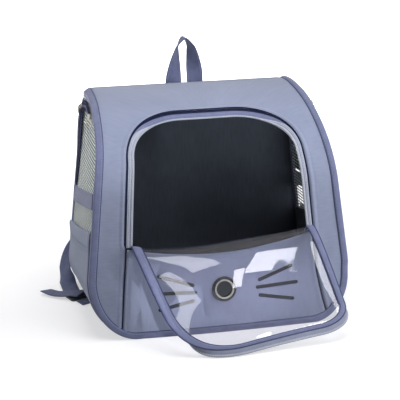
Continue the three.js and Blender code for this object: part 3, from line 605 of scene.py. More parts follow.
def ribbed_tape(name, colour, shade, rib, chevron=0.0, roughness=0.7, sheen=0.3, gloss=0.3):
    """Woven tape or webbing: ribs across its length, which bend into chevrons of that width where the
    weave is a herringbone. The eye gets fine dark lines between the ribs and worn, paler ridges. The
    ribs are really about 0.6 to 1 mm apart, and are drawn coarser so that they show."""
    material, tree, shader = new_finish(
        name, Roughness=roughness, Sheen_Weight=sheen, Sheen_Roughness=0.4, Specular_IOR_Level=gloss
    )
    place = add_node(tree, "ShaderNodeUVMap", uv_map="cloth").outputs["UV"]
    if chevron:
        split = add_node(tree, "ShaderNodeSeparateXYZ", {"Vector": place})
        zigzag = add_node(
            tree, "ShaderNodeMath", {0: split.outputs["Y"], 1: chevron * MM}, operation="PINGPONG"
        )
        bent = add_node(
            tree, "ShaderNodeMath", {0: split.outputs["X"], 1: zigzag.outputs[0]}, operation="ADD"
        )
        place = add_node(
            tree, "ShaderNodeCombineXYZ", {"X": bent.outputs[0], "Y": split.outputs["Y"]}
        ).outputs[0]
    ribs = add_node(
        tree,
        "ShaderNodeTexWave",
        {"Vector": place, "Scale": bands_per(rib), "Distortion": 0.8, "Detail Scale": 2.0},
        bands_direction="X",
    ).outputs["Fac"]
    wear = noise(tree, place, 9, 3)
    mixed = add_node(tree, "ShaderNodeMath", {0: ribs, 1: 0.6, 2: wear}, operation="MULTIPLY_ADD").outputs[0]
    share = add_node(
        tree, "ShaderNodeMapRange", {"Value": mixed, "From Min": 0.35, "From Max": 1.15}
    ).outputs[0]
    colour_by(tree, shader, share, shade, colour)
    raised = add_node(tree, "ShaderNodeBump", {"Height": ribs, "Strength": 0.6, "Distance": 0.25 * MM})
    tree.links.new(raised.outputs[0], shader.inputs["Normal"])
    return material


def clear_pvc(name):
    """Clear, soft, calendered PVC sheet. The eye gets what is behind it, a little greyed, and sharp
    mirror reflections that grow towards grazing angles: 4.5% and the rest by the fifth power."""
    material, tree, _ = new_finish(name)
    facing = add_node(tree, "ShaderNodeLayerWeight", {"Blend": 0.5}).outputs["Facing"]
    steep = add_node(tree, "ShaderNodeMath", {0: facing, 1: 5.0}, operation="POWER").outputs[0]
    mirror_share = add_node(
        tree, "ShaderNodeMath", {0: steep, 1: 0.9, 2: 0.045}, operation="MULTIPLY_ADD"
    ).outputs[0]
    clear = add_node(tree, "ShaderNodeBsdfTransparent", {"Color": linear("#f3f3f6")})
    mirror = add_node(tree, "ShaderNodeBsdfGlossy", {"Roughness": 0.02})
    mixed = add_node(
        tree, "ShaderNodeMixShader", {0: mirror_share, 1: clear.outputs[0], 2: mirror.outputs[0]}
    )
    tree.links.new(mixed.outputs[0], tree.nodes["Material Output"].inputs["Surface"])
    tree.nodes.remove(tree.nodes["Principled BSDF"])
    return material


def plated_metal(name, colour, tarnish, roughness, metallic=1.0):
    """Plated pressed or cast metal. The eye gets clear reflections, dulled in patches by handling."""
    material, tree, shader = new_finish(name, Metallic=metallic)
    place = add_node(tree, "ShaderNodeTexCoord").outputs["Object"]
    patches = noise(tree, place, 3, 4)
    colour_by(tree, shader, patches, tarnish, colour)
    ends = {"Value": patches, "To Min": roughness * 1.5, "To Max": roughness * 0.7}
    dull = add_node(tree, "ShaderNodeMapRange", ends)
    tree.links.new(dull.outputs[0], shader.inputs["Roughness"])
    return material


def moulded_plastic(name, colour, pale, roughness):
    """Injection-moulded plastic with a spark-eroded grain of about half a millimetre: a dull, slightly
    uneven gloss that is paler on the high spots."""
    material, tree, shader = new_finish(name, IOR=1.48)
    place = add_node(tree, "ShaderNodeTexCoord").outputs["Object"]
    grain = noise(tree, place, 0.6)
    colour_by(tree, shader, grain, colour, pale)
    dull = add_node(
        tree, "ShaderNodeMapRange", {"Value": grain, "To Min": roughness, "To Max": roughness + 0.15}
    )
    tree.links.new(dull.outputs[0], shader.inputs["Roughness"])
    rough = add_node(tree, "ShaderNodeBump", {"Height": grain, "Strength": 0.2, "Distance": 0.1 * MM})
    tree.links.new(rough.outputs[0], shader.inputs["Normal"])
    return material


PANEL = woven_cloth("coated polyester cloth", "#8e96af", "#838ba4", thread=1.4)
PADDED = woven_cloth("padded polyester cloth", "#959cb6", "#868eaa", thread=1.4)
LINING = woven_cloth("dark lining cloth", "#4a505b", "#3d434d", thread=1.2, sheen=0.1)
PRINT = woven_cloth("screen print ink", "#232833", "#1b1f29", thread=1.4, roughness=0.6, sheen=0.0)
# Also paints the pale zip tape across the doorway's top as it looks in the hem's shade.
BINDING_AND_SHADED_TAPE = ribbed_tape("polyester binding tape and painted tape shade", "#767c9c", "#626889", rib=1.3)
WEB = ribbed_tape("polypropylene webbing", "#666c8a", "#515775", rib=1.6, chevron=3.7)
ZIP_TAPE = ribbed_tape("pale zip tape", "#b4b9c8", "#a2a7ba", rib=1.1, chevron=2.0)
# The door's half of the zip: the pale zip tape darkened as painted shade, where it turns away from the light.
SHADED_ZIP_TAPE = ribbed_tape("zip tape in painted shade", "#8f94a8", "#7d8399", rib=1.1, chevron=2.0)
# The side zips' own dark tape; round the doorway and in the front's seam it paints shade.
DARK_TAPE_AND_SHADE = ribbed_tape("dark zip tape and painted shade", "#262c47", "#1a1f36", rib=1.1, chevron=2.0, sheen=0.0, gloss=0.05)
NET = ribbed_tape("knitted polyester net", "#e2e7e6", "#ccd3d1", rib=0.9, sheen=0.1)
PVC = clear_pvc("clear soft PVC")
NICKEL = plated_metal("dark nickel plate", "#5f5e60", "#424245", 0.22)
# Real on the sliders, ring and tab; on the eyelet's rim it paints a highlight.
ZINC_AND_HIGHLIGHT = plated_metal("plated zinc and painted highlight", "#d6d3ca", "#b3afa6", 0.3, metallic=0.55)
COIL = moulded_plastic("nylon zip coil", "#adb2c2", "#c3c7d2", 0.35)
DARK_COIL = moulded_plastic("dark nylon zip coil", "#1c2138", "#30365a", 0.35)
ACETAL = moulded_plastic("black acetal", "#17181c", "#23252b", 0.4)
THREAD = moulded_plastic("polyester sewing thread", "#7c82a0", "#8f95b1", 0.6)
# Dark cords beside the bindings: painted shade in the creases along their edges.
SHADE_LINE_CORD = moulded_plastic("navy cord of painted crease shade", "#2b3152", "#3a4166", 0.6)


# Front panels

SEAM_LINE = 0.6  # half the open line between two panels, where the dark cord of painted shade shows


def inner_edge(steps):
    """The left half of the front panel's inner edge in x and s: straight up the seam, then up the
    doorway's side, round its corner and to the top's middle."""
    foot = 0.012  # the seam starts a little above the floor, under the binding
    up = spaced(steps, foot, 1)
    door_x, door_s = tape_half(steps)
    x = np.concatenate([-lerp(SEAM_LOW[0], SEAM_HIGH[0], up), door_x])
    return x, np.concatenate([lerp(SEAM_LOW[1], SEAM_HIGH[1], up), door_s])


def hem(distance):
    """A turned-under edge: it drops at the edge, rolls up beside it and dips along its stitches."""
    return 0.7 * bump(distance, 2.8, 2.4) - 0.9 * bump(distance, 0, 1.1) - 0.25 * bump(distance, 6.5, 0.9)


def front_panel():
    """The front and roof round the doorway: straight lines in x and s from the inner edge to the outer
    one, closer together at the inner edge, raised by the relief and the hem."""
    steps, columns = 30, 30
    inner_x, inner_s = inner_edge(steps)
    up = spaced(steps)[1:]
    roof = np.full(steps - 1, FRONT_LENGTH)
    outer_s = np.concatenate([inner_s[: 2 * steps], lerp(DOORWAY["high"], FRONT_LENGTH, up), roof])
    outer_x = -front_half(outer_s) * np.concatenate([np.ones(3 * steps - 1), 1 - up])
    inner = np.stack(mirrored(inner_x, inner_s), -1)
    outer = np.stack(mirrored(outer_x, outer_s), -1)
    reach = np.linalg.norm(outer - inner, axis=1)[:, None]
    distance = lerp(np.minimum(SEAM_LINE, reach / 2), reach, spaced(columns)[None] ** 1.6)
    x, s = np.moveaxis(lerp(inner[:, None], outer[:, None], (distance / reach)[..., None]), -1, 0)
    lift = relief(x, s) * smooth(reach - distance, 0, 14) + hem(distance - SEAM_LINE)
    points = front(x, s, lift)
    nodes = ["front_surround", "front_column_left", "front_column_right"]
    sheet("front_panel", points, [PANEL, LINING], nodes, wall=PANEL_CLOTH)


def lower_panel():
    """The panel below the door: straight lines from the rounded lower edge up to the sagging sill,
    raised by the relief, by its hems and, along the sill, towards the door."""
    u, v = spaced(121, -1, 1)[:, None], spaced(49)[None]
    run, rise, middle = lower_corner(0)
    rise_s = rise / np.cos(FRONT_LEAN)
    foot, head = u * (SEAM_LOW[0] - SEAM_LINE), u * (SEAM_HIGH[0] - SEAM_LINE)
    into_corner = np.clip((np.abs(foot) - middle) / run, 0, 1)
    bottom = rise_s - (rise_s - 0.6) * np.sqrt(1 - into_corner**2)
    sill = sill_line(u, 0)[1]
    x, s = lerp(foot, head, v), lerp(bottom, sill, v)
    below_sill = (1 - v) * (sill - bottom)
    to_seam = (1 - np.abs(u)) * SEAM_HIGH[0] + 0 * v
    to_door = 2.2 * smooth(-below_sill, -10, 0) - 0.4 * bump(below_sill, 8, 0.9)
    lift = relief(x, s) * smooth(to_seam, 0, 8) + hem(to_seam) + to_door
    hole = 13.3  # under the eyelet's flange and clear of its barrel

    def round_the_eyelet(middles):
        up_front = middles[:, 2] / np.cos(FRONT_LEAN)
        return np.hypot(middles[:, 0] - EYELET["x"], up_front - EYELET["s"]) > hole

    sheet(
        "lower_panel",
        front(x, s, lift),
        [PANEL, LINING],
        ["front_lower_panel"],
        wall=PANEL_CLOTH,
        keep=round_the_eyelet,
    )


def sill_line(u, above):
    """The sill from left to right in x and s, moved up by above: a parabola that hangs lower on the left."""
    sag = SILL_SAG * (1 - u**2) + 1.6 * u**2
    return u * (SEAM_HIGH[0] - SEAM_LINE), SILL_END - sag + SILL_TILT * u + above


def outwards(x, s):
    """The front's outward direction at x and s."""
    return front(x, s, 1.0) - front(x, s, 0.0)


def seam_shade_cord():
    """A dark round cord in the open line beside the front panel's inner edge: painted shade of the gap."""
    x, s = mirrored(*inner_edge(40))
    cord("seam_shade_cord", front(x, s, -0.2), outwards(x, s), 0.75, 8, DARK_TAPE_AND_SHADE)


def whisker(name, side, inner, outer):
    """A printed stroke: a line whose half width falls to the ends in half circles, with a low dome
    across it that follows the panel's relief."""
    centre = WHISKER_CENTRES[side]
    ends = np.array([[centre + side * inner[0], inner[1]], [centre + side * outer[0], outer[1]]])
    radius, ink, root = WHISKER_WIDTH / 2, 0.3, -0.5
    length = np.linalg.norm(ends[1] - ends[0])
    along = -np.cos(spaced(61, 0, np.pi)) * (length / 2 + radius)
    past = np.clip(np.abs(along) - length / 2, 0, radius) / radius
    half = radius * np.sqrt(np.clip(1 - past**2, 0.004, 1))
    way = unit(ends[1] - ends[0])
    turn = spaced(17, 0, np.pi)[None]
    across = np.concatenate([np.cos(turn), -np.cos(turn[:, 1:-1])], 1) * half[:, None]
    height = np.concatenate([ink * np.sin(turn) ** 0.5, np.full((1, 15), root)], 1)
    x, s = (
        ends.mean(0)[k] + along[:, None] * way[k] + across * (-way[1], way[0])[k] for k in (0, 1)
    )
    points = front(x, s, relief(x, s) + height)
    band(f"print_{name}", points, [PRINT], [f"whisker_{name}"])


def eyelet():
    """A rolled ring: half a circle over the panel, the barrel through it and a flare behind, turned
    about the hole's middle. A pale ring laid on its inner rim is a painted highlight."""
    bore, barrel, flange = EYELET["bore"], EYELET["barrel"], EYELET["flange"]
    roll = spaced(17, 0, np.pi)
    crest, rise = (flange + bore) / 2, 2.2
    behind = [bore, bore, bore + 0.8, barrel, barrel, barrel, flange - 0.4]
    behind_height = [-1.5, -4.6, -5.2, -4.7, -3.0, -0.4, -0.2]
    radius = np.concatenate([crest + (flange - crest) * np.cos(roll), behind])[None]
    height = np.concatenate([0.4 + rise * np.sin(roll), behind_height])[None]
    turn = spaced(97, 0, 2 * np.pi)[:-1, None]
    points = front(EYELET["x"] + radius * np.cos(turn), EYELET["s"] + radius * np.sin(turn), height)
    band("eyelet_ring", points, [NICKEL], ["eyelet"], along=True, flat_angle=60)
    # A pale ring on the eyelet's inner rim: a painted highlight of the rolled edge.
    highlight_radius, wire, height = bore + 1.0, 1.3, 1.7
    section = round_profile(wire, 12)
    radius, height = highlight_radius + section[:, 0][None], height + section[:, 1][None]
    points = front(EYELET["x"] + radius * np.cos(turn), EYELET["s"] + radius * np.sin(turn), height)
    band("eyelet_rim_highlight", points, [ZINC_AND_HIGHLIGHT], along=True, flat_angle=80)


# Doorway

TAPE_SECTION = (
    (0, 0.1), (0.06, 0.6), (0.3, 0.75), (0.44, 0.7), (0.5, -0.2), (0.58, -0.2), (0.64, 0.7), (0.94, 0.75),
    (1, 0.2), (1, -0.4), (0.6, -0.8), (0.3, -0.8), (0, -0.5),
)  # share of the pale tape's width from its outer edge, and height; the coil lies past the groove
# The dark strip is the hem's painted shadow on the tape: a thin line up the sides, wider across the top.
SHADOW_LINE_SECTION = ((-0.1, -0.9), (0.0, -0.4), (0.5, -0.2), (1.0, -0.3), (1.05, -1.0), (0.5, -1.4))
SHADOW_LINE_SHARE = (0.15, 0.34)  # of the tape's width painted as the hem's shadow, up the sides and across the top
SHADED_TOP_SHARE = 0.88  # where the blue strip ends across the top, which is the pale tape painted in the hem's shade; up the sides there is none


def doorway_tape():
    """The zip tape round the doorway in three strips side by side, each a section carried between the tape's
    outer and its clear edge: a dark strip of painted shadow from the hem, a blue strip across the top that is
    the pale tape painted in the hem's shade, and the pale tape. Across the top the tape hangs back under the
    hem."""
    steps = 40
    outer = np.stack(mirrored(*tape_half(steps)), -1)[:, None]
    inner = np.stack(mirrored(*doorway_half(steps)), -1)[:, None]
    top = smooth(outer[..., 1], DOORWAY["high"], DOORWAY["high"] + DOORWAY["radius"])
    corner = (outer[..., 1] - DOORWAY["high"]) / DOORWAY["radius"]
    # Shares of the tape's width where the painted shadow ends and where the painted shade across the top
    # ends.
    dark = lerp(SHADOW_LINE_SHARE[0], SHADOW_LINE_SHARE[1], smooth(corner, 0.7, 1.15))
    blue = lerp(dark + 0.02, SHADED_TOP_SHARE, smooth(corner, 0.55, 1.1))

    def tape(share, height):
        x, s = np.moveaxis(lerp(outer, inner, share[..., None]), -1, 0)
        s = s + SILL_TILT * np.sign(x) * (1 - smooth(s, DOORWAY["low"], DOORWAY["low"] + 50))
        return front(x, s, height - top * (1.5 + 5 * share)), outwards(x, s)

    section = np.array(TAPE_SECTION)
    pale_points, _ = tape(lerp(blue, 1, section[None, :, 0]), section[None, :, 1])
    band("doorway_tape", pale_points, [ZIP_TAPE], ["door_frame_tape"])
    section = np.array(SHADOW_LINE_SECTION)
    # The pale tape across the top, painted in the hem's shade with the binding's colour.
    shaded_top_points, _ = tape(lerp(dark, blue, section[None, :, 0]), section[None, :, 1] + 0.5)
    band("doorway_shaded_tape_top", shaded_top_points, [BINDING_AND_SHADED_TAPE])
    # The hem's shadow on the tape, painted as a dark strip.
    shadow_line_points, _ = tape(section[None, :, 0] * dark, section[None, :, 1])
    band("doorway_shadow_line", shadow_line_points, [DARK_TAPE_AND_SHADE])

    def line(share, lift):
        points, out = tape(share, lift)
        return points[:, 0], out[:, 0]

    coil = [line(lerp(blue, 1, 0.8), 0.95)]
    grains("doorway_coil", coil, 2.0, (1.2, 0.72, 0.6), COIL, "zip_tape", crosswise=True)
    sewn = lerp(lerp(blue, 1, 0.25), lerp(dark, blue, 0.5), smooth(corner, 0.6, 1.1))
    stitches("doorway_stitches", [line(sewn, 0.85)], "zip_tape")


# Door


def across_door(settings, share):
    """The parabola through the door's left, middle and right settings."""
    left, middle, right = settings
    ends = left * (1 - share) * (1 - 2 * share) + right * share * (2 * share - 1)
    return ends + 4 * middle * share * (1 - share)


def door_middle(u, v):
    """The door's middle surface, u along the hinge and v out from it: for each u a cubic that rises from
    the sill, folds over and slopes to the floor."""
    u, v = np.broadcast_arrays(u, v)
    share = (u + 1) / 2
    hinge_s = SILL_END - SILL_SAG * (1 - u * u) + SILL_TILT * u + 1
    hinge = front(lerp(DOOR["hinge"][0], DOOR["hinge"][1], share), hinge_s, DOOR_CLEAR)
    free = lerp(DOOR_FREE[0], DOOR_FREE[1], share[..., None])
    tilt = np.radians(across_door(DOOR_TILT, share))
    rising = np.stack([0 * tilt, -np.cos(tilt), np.sin(tilt)], -1)
    shift = (free - hinge)[..., 0] / np.linalg.norm(free - hinge, axis=-1)
    fall = np.radians(across_door(DOOR_END, share))
    ending = np.stack([shift, -np.cos(fall), -np.sin(fall)], -1)
    fold = hinge + rising * across_door(DOOR_RISE, share)[..., None]
    run = free - unit(ending) * across_door(DOOR_RUN, share)[..., None]
    points = bezier((hinge, fold, run, free), v[..., None])
    points[..., 0] -= DOOR_BOW * np.sin(np.pi * np.clip(v, 0, 1)) * smooth(-u, 0.2, 1)
    return points


def door(u, v, lift):
    """The same surface, raised square to itself."""
    step = 0.004
    across = door_middle(u + step, v) - door_middle(u - step, v)
    along = door_middle(u, np.minimum(v + step, 1)) - door_middle(u, np.maximum(v - step, 0))
    out = unit(np.cross(along, across))
    return door_middle(u, v) + out * np.asarray(lift)[..., None], out


# Along its sides the door's zip tape is folded under and the binding is outermost. Along the free edge both
# curl away from the eye and look narrower. The tape's darker colour is painted shade.
FREE_SHIFT, FREE_SHARE = 9.4, 0.6  # millimetres the free edge is drawn in, and share of the flat widths
SIDE_SHARES = ((1.12, 1.12), (0.95, 0.78))  # of the flat widths at the hinge and the corner, left and right
TAPE_SEAM, TAPE_SHARE = 8.3, 1.05  # where tape and binding meet, and the tape's share at the free edge


def door_corner(radius, inset, share):
    """A corner ellipse's middle and its half axes in u and v, for the edge drawn in by inset."""
    across = radius - (inset - TAPE_SEAM) * share
    along = radius - inset * FREE_SHARE - FREE_SHIFT
    free_half, length = DOOR["free_half"], DOOR["length"]
    return 1 - radius / free_half, 1 - radius / length, across / free_half, along / length


def half_edge(hand, inset, steps):
    """One half of the door's edge in u and v: down the side, round the corner and to the free edge's middle.
    hand is 0 for the left and 1 for the right, and u counts outwards."""
    up = spaced(steps)
    share = lerp(SIDE_SHARES[hand][0], SIDE_SHARES[hand][1], up)
    side_u = door_corner(DOOR_RADII[hand], inset, share)
    middle_u, middle_v, reach_u, reach_v = door_corner(DOOR_RADII[hand], inset, SIDE_SHARES[hand][1])
    turn = up[1:] * np.pi / 2
    u = [middle_u + side_u[2], middle_u + reach_u * np.cos(turn), middle_u * (1 - up[1:])]
    v = [middle_v * up, middle_v + reach_v * np.sin(turn), 0 * up[1:] + middle_v + reach_v]
    return np.concatenate(u), np.concatenate(v)


def door_edge(steps, inset):
    """The door's edge drawn in by inset, in u and v: down the left side, round its corner, along the free
    edge, round the other corner and up the right side."""
    left_u, left_v = half_edge(0, inset, steps)
    right_u, right_v = half_edge(1, inset, steps)
    return np.concatenate([-left_u, right_u[-2::-1]]), np.concatenate([left_v, right_v[-2::-1]])


def door_reach(hand, inset, v):
    """How far the door reaches in u at v, on one hand, drawn in by inset: its side, then the corner."""
    u, edge_v = half_edge(hand, inset, 60)
    return np.interp(v, edge_v[:120], u[:120])


def above_floor(points):
    """The same points, raised where they are lower than the door may lie."""
    points[..., 2] = np.maximum(points[..., 2], DOOR_OVER_FLOOR)
    return points


def door_strip(name, section, materials, nodes=()):
    """A strip round the door's edge: a section of insets and heights carried along it."""
    section = np.array(section)
    edges = [np.stack(door_edge(36, inset), -1) for inset in section[:, 0]]
    u, v = np.moveaxis(np.stack(edges, 1), -1, 0)
    points, _ = door(u, v, section[:, 1][None] + 0 * u)
    return band(name, above_floor(points), materials, nodes)


def folding_tape(reach, height):
    """A line of the door's zip tape, which lies flat along the free edge and turns under the binding
    towards both sides: reach and height are turned about the binding's outer edge by the fold's angle."""
    fold = np.radians(150)
    u, v = door_edge(36, TAPE_SEAM)
    flat = smooth((v - v[0]) / (v.max() - v[0]), 0.74, 1.0)
    angle = fold * (1 - flat)
    reach = reach * lerp(1, TAPE_SHARE, flat)
    _, out = door(u, v, 0 * u)
    path = door_middle(u, v)
    _, across, out = directions(path, out)
    away = across * np.sign(((path - path.mean(0)) * across).sum())
    turned_reach = reach * np.cos(angle) + height * np.sin(angle)
    turned_height = height * np.cos(angle) - reach * np.sin(angle)
    points = path + away * turned_reach[:, None] + out * turned_height[:, None]
    return above_floor(points), away * np.sin(angle)[:, None] + out * np.cos(angle)[:, None]


def door_line(inset, lift):
    """A line round the door's edge with its out directions."""
    u, v = door_edge(60, inset)
    points, out = door(u, v, lift + 0 * u)
    return above_floor(points), out


def both_faces(upper):
    """A strip's section from its upper half: the same insets back along the lower face."""
    return [*upper, *((inset, -height) for inset, height in upper[::-1])]


def window_points():
    """The clear sheet: rows across the door that shorten between the rounded corners, rippled by three
    crossing waves that die out towards the binding."""
    a, b = spaced(101)[:, None], spaced(91)[None]
    under_binding = 10
    last = 1 - (under_binding * FREE_SHARE + FREE_SHIFT) / DOOR["length"]
    v = last * np.sin(b * np.pi / 2) + 0 * a
    u = lerp(-door_reach(0, under_binding, v), door_reach(1, under_binding, v), a)
    edge = smooth(np.minimum(a, 1 - a), 0.03, 0.2) * smooth(1 - b, 0.02, 0.2) * smooth(b, 0, 0.1)
    waves = (
        0.1 * np.sin(5.2 * u + 2.6 * v + 0.4)
        + 0.1 * np.sin(7.6 * v - 3.4 * u + 1.1)
        + 0.03 * np.sin(14 * u + 9 * v)
    )
    roll = -1.1 * smooth(u, 0.82, 1.02)
    return door(u, v, edge * waves + roll)[0]


def window():
    """The clear sheet as a piece, and its area in square metres from the cross products of its cells."""
    points = window_points()
    below = np.array([20, -110, -200])
    piece = sheet("clear_window", points, [PVC], ["door_window"], wall=0.7, inside=below)
    first, second = points[1:, 1:] - points[:-1, :-1], points[1:, :-1] - points[:-1, 1:]
    area = np.linalg.norm(np.cross(first, second), axis=-1).sum() / 2 * MM * MM
    return piece, area


def door_trim():
    """The door's binding and zip tape from sections of inset and height, with its coil, its stitches and the
    dark cords beside the binding, which paint the shade along its edges. The tape's colour is painted shade."""
    binding = both_faces([(8.3, 0.3), (8.8, 1.0), (10.5, 1.4), (14, 1.45), (16.2, 1.1), (17.2, 0.35)])
    tape = both_faces([(8.2, 0.3), (7.6, 0.6), (5.6, 0.65), (5.0, 0.35), (4.4, 0.6), (0.8, 0.6), (0, 0.4)])
    door_strip("door_edge_binding", binding, [BINDING_AND_SHADED_TAPE], ["door_binding"])
    points = np.stack([folding_tape(*place)[0] for place in tape], 1)
    band("door_edge_tape", points, [SHADED_ZIP_TAPE], ["door_zip_tape"])
    coil = [folding_tape(6.7, 0.8)]
    grains("door_coil", coil, 2.0, (1.3, 0.72, 0.5), COIL, "zip_tape", crosswise=True)
    rows = [door_line(15.3, 1.4), folding_tape(2.6, 0.65)]
    stitches("door_stitches", rows, "binding_tape")
    # Dark cords on both edges of the binding: painted shade in the creases beside it.
    for place, inset, radius in (("inner", 17.5, 0.55), ("outer", 8.1, 0.85)):
        path, out = door_line(inset, 0.5)
        cord(f"door_{place}_line", path, out, radius, 6, SHADE_LINE_CORD)


# Bindings


def front_edge(t):
    """The front's outer edge in x and s: from the roof's left end down the side, round the lower corner's
    ellipse, along the floor and up the other side."""
    run, rise, middle = lower_corner(0)
    rise_s = rise / np.cos(FRONT_LEAN)
    share = np.abs(t)
    turn = np.clip((share - EDGE_FLOOR) / (EDGE_CORNER - EDGE_FLOOR), 0, 1) * np.pi / 2
    side_s = lerp(rise_s, FRONT_LENGTH, np.clip((share - EDGE_CORNER) / (1 - EDGE_CORNER), 0, 1))
    low_x = np.where(share < EDGE_FLOOR, middle * share / EDGE_FLOOR, middle + run * np.sin(turn))
    x = np.where(share < EDGE_CORNER, low_x, front_half(side_s))
    return np.sign(t) * x, np.where(share < EDGE_CORNER, rise_s * (1 - np.cos(turn)), side_s)


FRONT_BINDING_SECTION = (
    (7.3, 0.5), (6.7, 1.3), (5.5, 1.75), (3.6, 1.9), (1.6, 1.8), (0.4, 1.6), (-0.7, 1.2), (-1.1, 0.2),
    (-1.2, -3), (-1.2, -5.5), (-0.9, -7.2), (-0.2, -8), (0.05, -7), (0.05, -0.5), (1, 0.05), (6.5, 0.05),
)  # reach in from the front's edge, and height over the front


def front_frame():
    """Points of the front's edge with their inward direction in x and s."""
    t = spaced(361, -1, 1)
    x, s = front_edge(t)
    ahead = unit(np.stack([np.gradient(x), np.gradient(s)], -1))
    return t, x, s, -ahead[:, 1], ahead[:, 0]


def front_binding():
    """Tape folded round the front's edge: its section carried along the edge. Along the floor it hardly
    reaches past the edge, so that the bag stands flat."""
    t, x, s, inward_x, inward_s = front_frame()
    section = np.array(FRONT_BINDING_SECTION)
    free = lerp(0.12, 1, smooth(np.abs(t), EDGE_FLOOR, EDGE_CORNER))[:, None]
    reach = np.where(section[:, 0] < 0, section[:, 0] * free, section[:, 0])

    def line(reach, lift):
        place_x = x[:, None] + inward_x[:, None] * reach
        place_s = np.maximum(s[:, None] + inward_s[:, None] * reach, 0)
        points = front(place_x, place_s, lift)
        points[..., 2] = np.maximum(points[..., 2], 0.05)
        return points

    points = line(reach, section[:, 1][None])
    band("front_edge_binding", points, [BINDING_AND_SHADED_TAPE], ["binding_front"], flat_angle=60)
    out = outwards(x, s)
    sewn = line(np.full((len(x), 1), 5.9), 1.75)[:, 0]
    stitches("front_binding_stitches", [(sewn, out)], "binding_tape", BINDING_STITCH)
    # A dark cord along the binding's inner edge: painted shade in the crease beside it.
    path = line(np.full((len(x), 1), 7.6), 0.2)[:, 0]
    cord("front_binding_line", path, out, 0.5, 6, SHADE_LINE_CORD)


def back_outline(inset, count):
    """The back's outline in x and z, drawn in by inset: two ellipse quarters below, two arcs above and
    straight lines between, at even lengths."""
    run, rise, middle = lower_corner(1)
    radius = max(TOP_CORNER - inset, 4)
    top = HEIGHT - inset
    top_middle = straight_half(top - radius) - inset - radius
    turn = spaced(25, 0, np.pi / 2)
    low = np.stack([middle + (run - inset) * np.sin(turn), rise - (rise - inset) * np.cos(turn)], 1)
    high = np.stack([top_middle + radius * np.cos(turn), top - radius + radius * np.sin(turn)], 1)
    right = np.concatenate([low, high])
    loop = np.concatenate([right, right[::-1] * (-1, 1), right[:1]])
    length = np.concatenate([[0], np.cumsum(np.linalg.norm(np.diff(loop, axis=0), axis=1))])
    at = spaced(count + 1, 0, length[-1])[:-1]
    return np.stack([np.interp(at, length, column) for column in loop.T], 1)


BACK_BINDING_SECTION = (
    (8.2, 2.0), (7.4, 4.2), (5.5, 4.8), (3, 4.7), (0.8, 4.2), (-0.7, 3), (-1.3, 1),
    (-1.4, -3), (-1.2, -6.5), (-0.3, -8), (0.05, -7), (0.05, 0.2), (4, 0.5),
)  # reach in from the back's edge, and height past the back


def back_binding():
    """Tape folded round the back's edge, closed in a loop."""
    edge = back_outline(0, 360)
    ahead = unit(np.roll(edge, -1, 0) - np.roll(edge, 1, 0))
    inward = np.stack([-ahead[:, 1], ahead[:, 0]], 1)
    section = np.array(BACK_BINDING_SECTION)
    free = (smooth(edge[:, 1], -6, 20) * lerp(1, 0.05, smooth(edge[:, 1], HEIGHT - 12, HEIGHT - 1)))[:, None]
    reach = np.where(section[:, 0] < 0, section[:, 0] * free, section[:, 0])
    flat = edge[:, None] + inward[:, None] * reach[..., None]
    over_roof = lerp(1, 0.15, smooth(edge[:, 1], HEIGHT - 16, HEIGHT - 2))[:, None]
    y = BACK_Y + GAP + np.where(section[:, 1] < 0, section[:, 1] * over_roof, section[:, 1])
    points = np.stack([flat[..., 0], y, np.maximum(flat[..., 1], 0.05)], -1)
    band("back_edge_binding", points, [BINDING_AND_SHADED_TAPE], ["binding_back"], along=True, flat_angle=60)
    sewn = edge + inward * 6.6
    path = np.stack([sewn[:, 0], np.full(len(sewn), BACK_Y + GAP + 4.5), sewn[:, 1]], 1)
    out = repeated(TO_THE_BACK, len(path))
    stitches("back_binding_stitches", [(path, out)], "binding_tape", BINDING_STITCH)


# Sides


def side_out(side, count):
    """The outward direction of the flat upper side, repeated."""
    lean = BASE_WIDTH / 2 * WIDTH_TAPER / HEIGHT
    return repeated(unit(np.array([side, 0.0, lean])), count)


def lower_side_cloth(name, side):
    """The lower side: ellipse quarters from the base, then straight up to the net's slanted seam."""
    t, v = spaced(41)[:, None], spaced(45)[None]
    low = lower_side(side, t, FRONT_Y + 0 * v, net_seam(FRONT_Y), 0)[..., 2]
    y = lerp(wall_start(low + WALL), BACK_Y, v)
    ripple = 0.3 * np.sin(y / 19 + 0.5) * np.sin(9 * t + 1) * smooth(t, 0.2, 0.6)
    points = lower_side(side, t, y, net_seam(y), ripple)
    sheet(f"side_cloth_{name}", points, [PANEL, LINING], [f"lower_side_{name}"], wall=2.2)


def pocket(name, side):
    """The side pocket: a second layer over the lower side that stands off in the middle and at its rear
    top corner, with a folded hem whose edge is slightly gathered."""
    margin_front, margin_back, lowest = 8, 4, 0.3
    u, v = spaced(61)[:, None], spaced(81)[None]
    t = lerp(lowest, 1, u)
    front_z = lower_side(side, t, FRONT_Y + 0 * v, POCKET_TOP[0], 0)[..., 2]
    y = lerp(wall_start(front_z) + margin_front, BACK_Y - margin_back, v)
    below_top = (1 - t) * 75  # the straight stretch is about 75 mm for each unit of t near the top
    swell = POCKET_BULGE * np.sin(np.pi * v) * smooth(t, lowest, 1)
    corner = 2.2 * smooth(v, 0.82, 1) * smooth(t, 0.85, 1)
    gathers = 0.12 * np.sin(v * 56) * bump(below_top, 9, 6)
    fold = 0.7 * smooth(-below_top, -12.5, -11.5) - 0.5 * bump(below_top, 10, 0.9)
    fold = fold - 0.8 * bump(below_top, 0, 1)
    sides = 0.8 * bump(v, 0.035, 0.02) + 0.8 * bump(v, 0.965, 0.02)
    lift = GAP + 1.2 + swell + corner + gathers + fold + sides
    points = lower_side(side, t, y, slanted(POCKET_TOP, y), lift)
    sheet(f"pocket_cloth_{name}", points, [PANEL], [f"pocket_{name}"], wall=1.2)
    hem_row = np.argmin(np.abs(below_top[:, 0] - 10))
    rows = [(points[hem_row] + (side * 0.2, 0, 0), side_out(side, len(v[0])))]
    stitches(f"pocket_stitches_{name}", rows, "panel_fabric", HEM_STITCH)


NET_HOLE = (0.93, 0.54)  # a hole's share of its cell, along its row and up
NET_SLACK = 1.6


